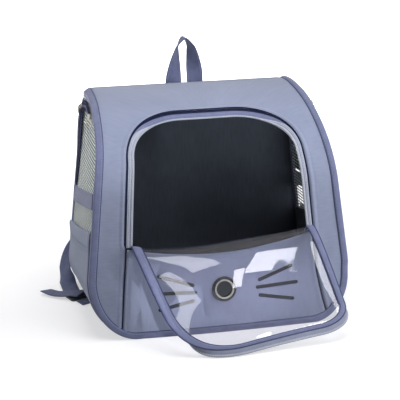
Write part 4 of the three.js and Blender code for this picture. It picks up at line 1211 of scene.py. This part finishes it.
def side_net(name, side):
    """The net: long cells in level rows, each a ring of six quads between the cell's outline and that of its
    hole. The cells with their middles inside the D-shaped opening stay, whole. Its holes are really about
    1.5 mm apart, and are drawn coarser so that they show."""
    inner = front(0.0, spaced(300, 0, FRONT_LENGTH), -WALL - 1.2)
    row = np.arange(0, HEIGHT, NET_PITCH)
    y, z = np.meshgrid(np.arange(FRONT_Y, BACK_Y, NET_STEP), row)
    y, z = y.ravel(), z.ravel()
    inside = (z > net_seam(y) - 2) & (z < np.interp(y, inner[:, 1], inner[:, 2])) & (y < BACK_Y - 1.5)
    y, z = y[inside], z[inside]
    shape_y = NET_STEP / 2 * np.array([1, 0, -1, -1, 0, 1])
    shape_z = NET_PITCH / 2 * np.array([1, 1, 1, -1, -1, -1])
    rings = [
        np.stack([y[:, None] + shape_y * long, z[:, None] + shape_z * tall], -1)
        for long, tall in ((1, 1), NET_HOLE)
    ]
    flat = np.concatenate([ring.reshape(-1, 2) for ring in rings])
    _, first, merged = np.unique(np.round(flat, 2), axis=0, return_index=True, return_inverse=True)
    flat = flat[first]
    numbers = merged.reshape(2, len(y), 6)
    after = np.roll(numbers, -1, axis=2)
    quads = np.stack([numbers[0], after[0], after[1], numbers[1]], -1).reshape(-1, 4)
    if side < 0:
        quads = quads[:, ::-1]
    slack = NET_SLACK * np.sin(np.pi * np.clip((flat[:, 0] - FRONT_Y) / DEPTH, 0, 1))
    x = side * (straight_half(flat[:, 1]) - 0.6 + slack)
    points = np.stack([x, flat[:, 0], flat[:, 1]], -1)
    uv = (flat[quads] * MM).reshape(-1, 2)
    net = new_piece(f"net_{name}", points, quads.tolist(), [NET], [f"side_mesh_{name}"], uv)
    yarn = net.modifiers.new("yarn thickness", "SOLIDIFY")
    yarn.thickness = 0.35 * MM
    yarn.offset = -1


def side_band(name, side):
    """A flat band across the net, which follows the slope of the pocket's edge."""
    rough = slanted(BAND_LOW, FRONT_Y) + BAND_HEIGHT / 2
    y = spaced(61, wall_start(rough) + 1, BACK_Y)
    z = slanted(BAND_LOW, y) + BAND_HEIGHT / 2
    x = side * (straight_half(z) + NET_SLACK * np.sin(np.pi * (y - FRONT_Y) / DEPTH) + 0.9)
    path = np.stack([x, y, z], 1)
    out = side_out(side, len(path))
    _, across, out = directions(path, out)
    points = swept(path, across, out, flat_profile(BAND_HEIGHT, 1.5))
    band(f"side_band_{name}", points, [BINDING_AND_SHADED_TAPE], [f"band_{name}"])
    rows = [(path + across * reach + out * 0.85, out) for reach in (-8.2, 8.2)]
    stitches(f"side_band_stitches_{name}", rows, "webbing")


def zip_out(z):
    """How far from the bag's middle the side zip lies: it stands off the side towards the top."""
    return straight_half(z) + 1.3 + 2 * smooth(z, 180, 235)


def side_zip(name, side):
    """The zip beside the net: a tape of changing width along a smooth curve up the rear edge and forward
    under the roof, with a coil along its middle."""
    y, z, width = through(SIDE_ZIP, spaced(121)).T
    path = np.stack([side * zip_out(z), y, z], 1)
    _, across, out = directions(path, side_out(side, len(path)))
    section = flat_profile(1.0, 0.06)
    section = section[None] * np.stack([width, np.full(len(width), 20.0)], 1)[:, None]
    points = swept(path, across, out, section)
    band(f"side_zip_tape_{name}", points, [DARK_TAPE_AND_SHADE], [f"side_zip_{name}"])
    coil = [(path + out * 0.9, out)]
    half = (2.0, 0.7, 0.7)
    grains(f"side_zip_coil_{name}", coil, 1.9, half, DARK_COIL, "dark_zip_tape", crosswise=True)


def slider_body(name, side, place, upright, nodes=()):
    """A slider: a rounded loft that narrows to its tail, and a bridge over it. It lies along the zip, which
    runs level or upright there."""
    base_x = zip_out(place[1]) - 0.8
    along = -np.cos(spaced(25, 0, np.pi)) * SLIDER["length"] / 2
    round_end = np.sqrt(np.clip(1 - (along / (SLIDER["length"] / 2)) ** 4, 0.01, 1))
    half = SLIDER["width"] / 2 * lerp(1, 0.72, smooth(along, -2, 5)) * round_end
    turn = spaced(21, 0, 2 * np.pi)[:-1]
    wide = half[:, None] * np.sign(np.cos(turn)) * np.abs(np.cos(turn)) ** 0.6
    up = np.sign(np.sin(turn)) * np.abs(np.sin(turn)) ** 0.6
    thick = SLIDER["thick"] / 2
    long = along[:, None] + 0 * wide
    y, z = (wide, long) if upright else (long, wide)
    x = side * (base_x + thick + thick * up * round_end[:, None])
    points = np.stack([x, place[0] + y, place[1] + z], -1)
    band(f"slider_{name}", points, [ZINC_AND_HIGHLIGHT], nodes, flat_angle=60)
    arch = spaced(21, 0, np.pi)
    over, reach = SLIDER["thick"] - 0.5 + 2.0 * np.sin(arch), 2.8 * np.cos(arch)
    y, z = (0 * reach, -reach) if upright else (reach, 0 * reach)
    bridge = np.stack([side * (base_x + over), place[0] + y, place[1] + z], 1)
    out = repeated((side, 0.3, 0.2), len(bridge))
    cord(f"slider_bridge_{name}", bridge, out, 0.75, 8, ZINC_AND_HIGHLIGHT)
    return base_x + SLIDER["thick"]


def zip_sliders(name, side):
    """Two sliders on the side zip: a ring hangs from the front one and a flat tab from the rear one, both
    turned a little to the front."""
    out_x = slider_body(name, side, FRONT_SLIDER, False, [f"zip_slider_{name}"])
    loop, wire = spaced(49, 0, 2 * np.pi)[:-1], spaced(13, 0, 2 * np.pi)[:-1]
    radius = (RING["radius"] + RING["wire"] * np.cos(wire))[None] + 0 * loop[:, None]
    flat = radius * np.cos(loop)[:, None]
    turn = np.radians(35)
    deep = RING["wire"] * np.sin(wire)[None]
    x = out_x - 0.5 + flat * np.sin(turn) + deep * np.cos(turn)
    y = FRONT_SLIDER[0] - RING["ahead"] + flat * np.cos(turn) - deep * np.sin(turn)
    z = FRONT_SLIDER[1] - RING["below"] + radius * np.sin(loop)[:, None]
    ring = np.stack([side * x, y, z], -1)
    band(f"pull_ring_{name}", ring, [ZINC_AND_HIGHLIGHT], [f"zip_ring_{name}"], along=True, flat_angle=80)
    out_x = slider_body(f"rear_{name}", side, REAR_SLIDER, True)
    drop = spaced(31)
    path = np.stack([0 * drop, 0 * drop, -PULL_TAB["length"] * drop], 1)
    path += (side * (out_x + 1.2), REAR_SLIDER[0], REAR_SLIDER[1] + 3)
    across, out = repeated((0.6, -0.8 * side, 0), len(path)), repeated((0.8 * side, 0.6, 0), len(path))
    round_end = np.sqrt(np.clip(1 - np.abs(2 * drop - 1) ** 5, 0.05, 1))[:, None, None]
    section = flat_profile(PULL_TAB["width"], PULL_TAB["thick"])[None] * round_end
    band(f"pull_tab_{name}", swept(path, across, out, section), [ZINC_AND_HIGHLIGHT], flat_angle=60)


# Back and base


def base_cloth():
    """The flat base, whose straight edges run out to where the lower corners start."""
    u, v = spaced(31, -1, 1)[:, None], spaced(31)[None]
    y = lerp(wall_start(WALL), BACK_Y, v)
    x = u * (lower_corner((y - FRONT_Y) / DEPTH)[2] + 0.4)
    points = np.stack([x, y + 0 * u, 0.15 + 0 * x], -1)
    sheet("base_cloth", points, [PANEL, LINING], ["base_panel"], wall=2.6)


BACK_CHANNELS = {"beside": 52, "low": 92, "high": 176}  # stitched lines that quilt the back


def back_half(z, inset):
    """Half the back's width at a height, drawn in by inset: ellipse, straight taper and arc."""
    run, rise, middle = lower_corner(1)
    radius = max(TOP_CORNER - inset, 4)
    top = HEIGHT - inset
    low = middle + (run - inset) * np.sqrt(np.clip(1 - ((rise - z) / (rise - inset)) ** 2, 0, 1))
    arc_middle = straight_half(top - radius) - inset - radius
    high = arc_middle + radius * np.sqrt(np.clip(1 - ((z - top + radius) / radius) ** 2, 0, 1))
    return np.where(z < rise, low, np.where(z > top - radius, high, straight_half(z) - inset))


def back_height(x, z):
    """How far the padded back stands out: full in the middle, falling to its edge, with grooves along
    the stitched channels."""
    inset = BACK_BINDING - 1.5
    to_side = back_half(z, inset) - np.abs(x)
    to_low, to_high = z - inset, (HEIGHT - inset - z) * 3
    edge = np.clip(np.minimum(np.minimum(to_side, to_low), to_high) / 18, 0, 1)
    crown = np.sqrt(1 - (1 - edge) ** 2)
    below_yoke = smooth(-z, -236, -226)
    upright = bump(np.abs(x), BACK_CHANNELS["beside"], 4) * smooth(z, 26, 40) * below_yoke
    level = bump(z, BACK_CHANNELS["low"], 4) + bump(z, BACK_CHANNELS["high"], 4)
    level = level * smooth(to_side, 10, 26)
    waves = 0.25 * np.sin(x / 13 + 1) * np.sin(z / 17)
    return 1.6 + (BACK_PAD - 2.4 + waves) * crown - 3.6 * np.maximum(upright, level) * crown


def back_padding():
    """The padded back, from rows across its outline, with its stitched channels and its cabin face."""
    u, v = spaced(141, -1, 1)[:, None], spaced(181)[None]
    inset = BACK_BINDING - 1.5
    z = lerp(inset, HEIGHT - inset, v)
    x = np.sin(u * np.pi / 2) * back_half(z, inset)
    points = np.stack([x, BACK_Y + GAP + back_height(x, z), z + 0 * x], -1)
    padding = sheet("back_padding", points, [PADDED], ["back_panel"], wall=1.4)
    beside, low, high = (BACK_CHANNELS[key] for key in ("beside", "low", "high"))
    upright, level = spaced(160, 34, 232), spaced(200, -132, 132)
    lines = [(np.full(160, way * beside), upright) for way in (-1, 1)]
    lines += [(level, np.full(200, height)) for height in (low, high)]
    rows = []
    for x, z in lines:
        path = np.stack([x, BACK_Y + GAP + back_height(x, z) + 0.2, z], 1)
        rows.append((path, repeated(TO_THE_BACK, len(path))))
    stitches("back_stitches", rows, "padding", QUILT_STITCH)
    lining_z = lerp(2.0, HEIGHT - 4, v)
    lining_x = u * back_half(np.clip(lining_z, 4, None), 3.5)
    lining = np.stack([lining_x, np.full_like(lining_x, BACK_Y - 0.4), lining_z + 0 * lining_x], -1)
    behind = np.array([0, 300, 130])
    sheet("cabin_back_lining", lining[::5, ::5], [LINING], wall=0.6, inside=behind)
    return padding


def yoke():
    """The strip over the straps' tops: a flat section with round edges, carried across the back."""
    path = np.stack([spaced(61, -YOKE["half"], YOKE["half"]), np.zeros(61), np.zeros(61)], 1)
    middle = (YOKE["low"] + YOKE["high"]) / 2
    path += (0, BACK_FACE_Y + GAP + YOKE["thick"] / 2, middle)
    _, across, out = directions(path, repeated(TO_THE_BACK, len(path)))
    points = swept(path, across, out, flat_profile(YOKE["high"] - YOKE["low"], YOKE["thick"]))
    band("yoke_strip", points, [BINDING_AND_SHADED_TAPE], ["back_yoke"])
    rows = [(path + across * reach + out * 1.55, out) for reach in (-8.6, 8.6)]
    stitches("yoke_stitches", rows, "binding_tape")


# Handle and straps


def strap_frame(route, side, steps):
    """A strap's middle line, its width direction and its outward direction along a route."""
    t = spaced(steps)
    turned = np.array([side, 1, 1])
    path = through([row[0] for row in route], t) * turned
    across = through([row[1] for row in route], t) * turned
    ahead = unit(np.gradient(path, axis=0))
    across = unit(across - ahead * (across * ahead).sum(1, keepdims=True))
    return path, across, np.cross(ahead, across)


def handle():
    """The carrying loop: webbing along a smooth curve up from the yoke, over and down. It turns evenly with
    its height, by a quarter up to the top and by another on the way down."""
    apex = HANDLE["apex"]
    half = [(-1, HANDLE["foot"]), *((-share, z) for share, z in HANDLE_SHARES)]
    rows = [*half, (0, apex), *((-across, z) for across, z in half[::-1])]
    y = BACK_FACE_Y + GAP + HANDLE["thick"] / 2
    t = spaced(161)
    path = through([(HANDLE["centre"] + across * HANDLE["spread"], y, z) for across, z in rows], t)
    ahead = unit(np.gradient(path, axis=0))
    height = np.clip((path[:, 2] - HEIGHT) / (apex - HEIGHT), 0, 1)
    turn = np.where(t < 0.5, height, 2 - height) * np.pi / 2
    across = np.stack([np.cos(turn), np.sin(turn), 0 * turn], 1)
    across = unit(across - ahead * (across * ahead).sum(1, keepdims=True))
    out = np.cross(ahead, across)
    points = swept(path, across, out, flat_profile(HANDLE["width"], HANDLE["thick"]))
    band("carry_handle", points, [WEB], ["handle"])
    rows = [
        (path + across * reach + out * face, out * face) for reach in (-8.8, 8.8) for face in (-1.05, 1.05)
    ]
    stitches("handle_stitches", rows, "webbing")


def pad_width(t):
    """A shoulder pad's width at a share of its length."""
    return lerp(PAD["width"], PAD["end_width"], smooth(t, 0.4, 1))


def shoulder_pad(name, side):
    """A shoulder pad: a crowned section along its route, pinched along a line of stitches beside each
    edge and flattened at both ends, with a binding round its edges."""
    steps = 101
    t = spaced(steps)
    path, across, out = strap_frame(PAD_ROUTE, side, steps)
    width = pad_width(t)[:, None]
    turn = spaced(65, 0, 2 * np.pi)[:-1][None]
    reach = np.sign(np.cos(turn)) * np.abs(np.cos(turn)) ** 0.7
    crown = np.sign(np.sin(turn)) * np.abs(np.sin(turn)) ** 0.55
    from_edge = (1 - np.abs(reach)) * width / 2
    pinch = 1 - 0.45 * bump(from_edge, 7, 1.8)
    ends = lerp(0.35, 1, smooth(t, 0, 0.09) * smooth(1 - t, 0, 0.07))[:, None]
    thick = PAD["thick"] / 2 * ends * pinch * crown
    section = np.stack([reach * width / 2, thick], -1)
    points = swept(path, across, out, section)
    pad = band(f"shoulder_pad_{name}", points, [PADDED], [f"strap_pad_{name}"])
    edges = np.concatenate([path - across * width / 2, (path + across * width / 2)[::-1]])
    edge_out = np.concatenate([out, out[::-1]])
    for place, part in (("inner", slice(0, steps)), ("outer", slice(steps, None))):
        _, square, up = directions(edges[part], edge_out[part])
        piping = round_profile(1.0, 12) * (1.9, 2.4)
        band(f"pad_binding_{name}_{place}", swept(edges[part], square, up, piping), [BINDING_AND_SHADED_TAPE])
    rows = []
    for way in (-1, 1):
        for face in (-1, 1):
            height = PAD["thick"] / 2 * ends * 0.5 * face
            line = path + across * way * (width / 2 - 7) + out * height
            rows.append((line, out * face))
    stitches(f"pad_stitches_{name}", rows, "padding", QUILT_STITCH)


def webbing(piece_name, route, side, steps, node):
    """Flat webbing along a route, in so many steps."""
    path, across, out = strap_frame(route, side, steps)
    points = swept(path, across, out, flat_profile(WEBBING["width"], WEBBING["thick"]))
    band(piece_name, points, [WEB], [node])


def ladder_lock(name, side):
    """The strap adjuster: a rounded bar bent into a rounded rectangle, with a flat bar across it."""
    half_wide, half_long, radius = LOCK["width"] / 2 - 2, LOCK["length"] / 2 - 2, 3.5
    turn = spaced(9, 0, np.pi / 2)
    corners = []
    for k, (a, b) in enumerate(((1, 1), (-1, 1), (-1, -1), (1, -1))):
        arc = turn + k * np.pi / 2
        x = a * (half_wide - radius) + radius * np.cos(arc)
        corners.append(np.stack([x, b * (half_long - radius) + radius * np.sin(arc)], 1))
    loop = np.concatenate(corners)
    middle = np.array([side * LOCK["centre"][0], LOCK["centre"][1], GAP + LOCK["thick"] / 2])
    angle = side * LOCK["turn"]
    turned = np.array([[np.cos(angle), np.sin(angle), 0], [-np.sin(angle), np.cos(angle), 0], [0, 0, 1]])
    ahead = unit(np.roll(loop, -1, 0) - np.roll(loop, 1, 0))
    outward = np.stack([ahead[:, 1], -ahead[:, 0]], 1)
    bar = flat_profile(LOCK["thick"], 3.6)[:, ::-1]
    flat = loop[:, None] + outward[:, None] * bar[..., :1]
    ring = np.concatenate([flat, 0 * flat[..., :1] + bar[None, :, 1:]], -1) @ turned + middle
    nodes = [f"ladder_lock_{name}"]
    band(f"lock_frame_{name}", ring, [ACETAL], nodes, along=True)
    path = np.stack([spaced(15, -half_wide, half_wide), np.zeros(15), np.zeros(15)], 1)
    across, up = repeated((0, 1, 0), len(path)), repeated((0, 0, 1), len(path))
    points = swept(path, across, up, flat_profile(7, 3.4))
    band(f"lock_bar_{name}", points @ turned + middle, [ACETAL])


# The whole bag

front_panel()
lower_panel()
seam_shade_cord()
eyelet()
doorway_tape()
front_binding()
back_binding()
base_cloth()
back_padding()
yoke()
handle()
for side_name, side in (("left", -1), ("right", 1)):
    for row, (inner, outer) in WHISKERS.items():
        whisker(f"{side_name}_{row}", side, inner, outer)
    lower_side_cloth(side_name, side)
    pocket(side_name, side)
    side_net(side_name, side)
    side_band(side_name, side)
    side_zip(side_name, side)
    zip_sliders(side_name, side)
    shoulder_pad(side_name, side)
    webbing(f"webbing_{side_name}", WEBBING_ROUTE, side, 121, f"strap_webbing_{side_name}")
    webbing(f"webbing_tail_{side_name}", TAIL_ROUTE, side, 61, f"strap_tail_{side_name}")
    webbing(f"webbing_tab_{side_name}", TAB_ROUTE, side, 13, f"strap_tab_{side_name}")
    ladder_lock(side_name, side)

window_piece, window_area = window()
door_trim()

# Floor, light and camera

scene = bpy.context.scene
scene.view_settings.view_transform = "Standard"


def studio_floor():
    """A wide, matte, almost white paper floor just under the bag, made as a flat grid."""
    half, steps = 9000, 13
    line = spaced(steps, -half, half)
    x, y = np.meshgrid(line, line, indexing="ij")
    points = np.stack([x, y, np.full_like(x, -0.1)], -1)
    mesh = bpy.data.meshes.new("studio_floor")
    mesh.from_pydata((points.reshape(-1, 3) * MM).tolist(), [], grid_quads(steps, steps)[0].tolist())
    material, tree, shader = new_finish(
        "white paper floor", Roughness=0.9, Specular_IOR_Level=0.1, Emission_Strength=0.5
    )
    place = add_node(tree, "ShaderNodeTexCoord").outputs["Object"]
    colour_by(tree, shader, noise(tree, place, 400), "#c3c3c5", "#c6c6c8")
    mesh.materials.append(material)
    floor = bpy.data.objects.new("studio_floor", mesh)
    floor.visible_diffuse = False  # it throws no light back up on the bag
    scene.collection.objects.link(floor)


def aimed(place, target):
    """The matrix that stands at place and looks along its own -Z at target, with +Y up."""
    back = unit(np.array(place, float) - np.array(target, float))
    right = unit(np.cross((0, 0, 1.0), back) + (1e-9, 0, 0))
    matrix = np.eye(4)
    matrix[:3, :3] = np.stack([right, np.cross(back, right), back], 1)
    matrix[:3, 3] = np.array(place) * MM
    return Matrix(matrix.tolist())


def softbox(name, place, target, size, power, beam=180, in_mirrors=False):
    """A rectangular lamp facing its target, with a grid that narrows its beam to so many degrees. Glossy
    surfaces mirror it only where that is asked for."""
    light = bpy.data.lights.new(name, "AREA")
    light.shape = "RECTANGLE"
    light.size, light.size_y = (edge * MM for edge in size)
    light.energy = power
    light.spread = np.radians(beam)
    lamp = bpy.data.objects.new(name, light)
    lamp.matrix_world = aimed(place, target)
    lamp.visible_glossy = in_mirrors
    scene.collection.objects.link(lamp)


CEILING = 1700
CEILING_PANELS = (
    ("wide_panel", (600, -1700, CEILING + 60), (3000, 3000), 0, 0.25),
    ("left_panel_near", (150, -1080, CEILING), (260, 950), 27, 4.5),
    ("left_panel_far", (140, -1840, CEILING), (200, 950), 34, 4),
    ("right_panel_near", (889, -1545, CEILING), (190, 620), 9, 9),
    ("right_panel_far", (808, -1930, CEILING), (86, 390), 12, 9),
    ("edge_panel", (1330, -1420, CEILING), (300, 850), 0, 6),
)  # middle, width and length, degrees turned, and brightness; the clear door mirrors them


def ceiling_panel(name, middle, size, turn, brightness):
    """A flat lamp facing straight down, whose power comes from its brightness and area. It shows in the clear
    door only: the softboxes do the lighting."""
    light = bpy.data.lights.new(name, "AREA")
    light.shape = "RECTANGLE"
    light.size, light.size_y = (edge * MM for edge in size)
    light.energy = brightness * np.pi * light.size * light.size_y
    lamp = bpy.data.objects.new(name, light)
    place = Matrix.Translation([axis * MM for axis in middle])
    lamp.matrix_world = place @ Matrix.Rotation(np.radians(turn), 4, "Z")
    lamp.visible_diffuse = False
    scene.collection.objects.link(lamp)


EYE, TARGET = (-287.9, -1190, 503.8), (0, -9.3, 146.5)
FOCAL_PIXELS, PHOTO_PIXELS, SENSOR = 995.7, 400, 36  # the lens in photograph pixels, and the sensor in mm
SHIFT = (-0.0163, -0.0127)  # shares of the picture's width
WORLD_STRENGTH = 0.24

studio_floor()
# Each softbox: its place, its target, its width and height, and its power in watts
softbox("key_softbox", (600, -500, 350), (60, -110, 120), (700, 700), 5.9)
softbox("top_softbox", (0, -300, 1300), (0, -60, 200), (700, 700), 8.0)
softbox("side_softbox", (-1200, 250, 550), (-150, 0, 150), (700, 700), 5)
softbox("arch_softbox", (-420, -850, 330), (-105, -40, 260), (360, 130), 0.068, beam=13)
softbox("panel_softbox", (0, -1000, 520), (0, -100, 52), (200, 80), 0.048, beam=6)
softbox("floor_softbox", (0, 1500, 1900), (0, 3900, 0), (4000, 1200), 330, in_mirrors=True)
for name, middle, size, turn, brightness in CEILING_PANELS:
    ceiling_panel(name, middle, size, turn, brightness)
world = bpy.data.worlds.new("white studio")
world.use_nodes = True
sky = world.node_tree.nodes["Background"]
sky.inputs["Color"].default_value = linear("#ffffff")
sky.inputs["Strength"].default_value = WORLD_STRENGTH
scene.world = world

lens = bpy.data.cameras.new("photo_camera")
lens.sensor_width = SENSOR
lens.lens = FOCAL_PIXELS / PHOTO_PIXELS * SENSOR
lens.shift_x, lens.shift_y = SHIFT
camera = bpy.data.objects.new("photo_camera", lens)
camera.matrix_world = aimed(EYE, TARGET)
scene.collection.objects.link(camera)
scene.camera = camera
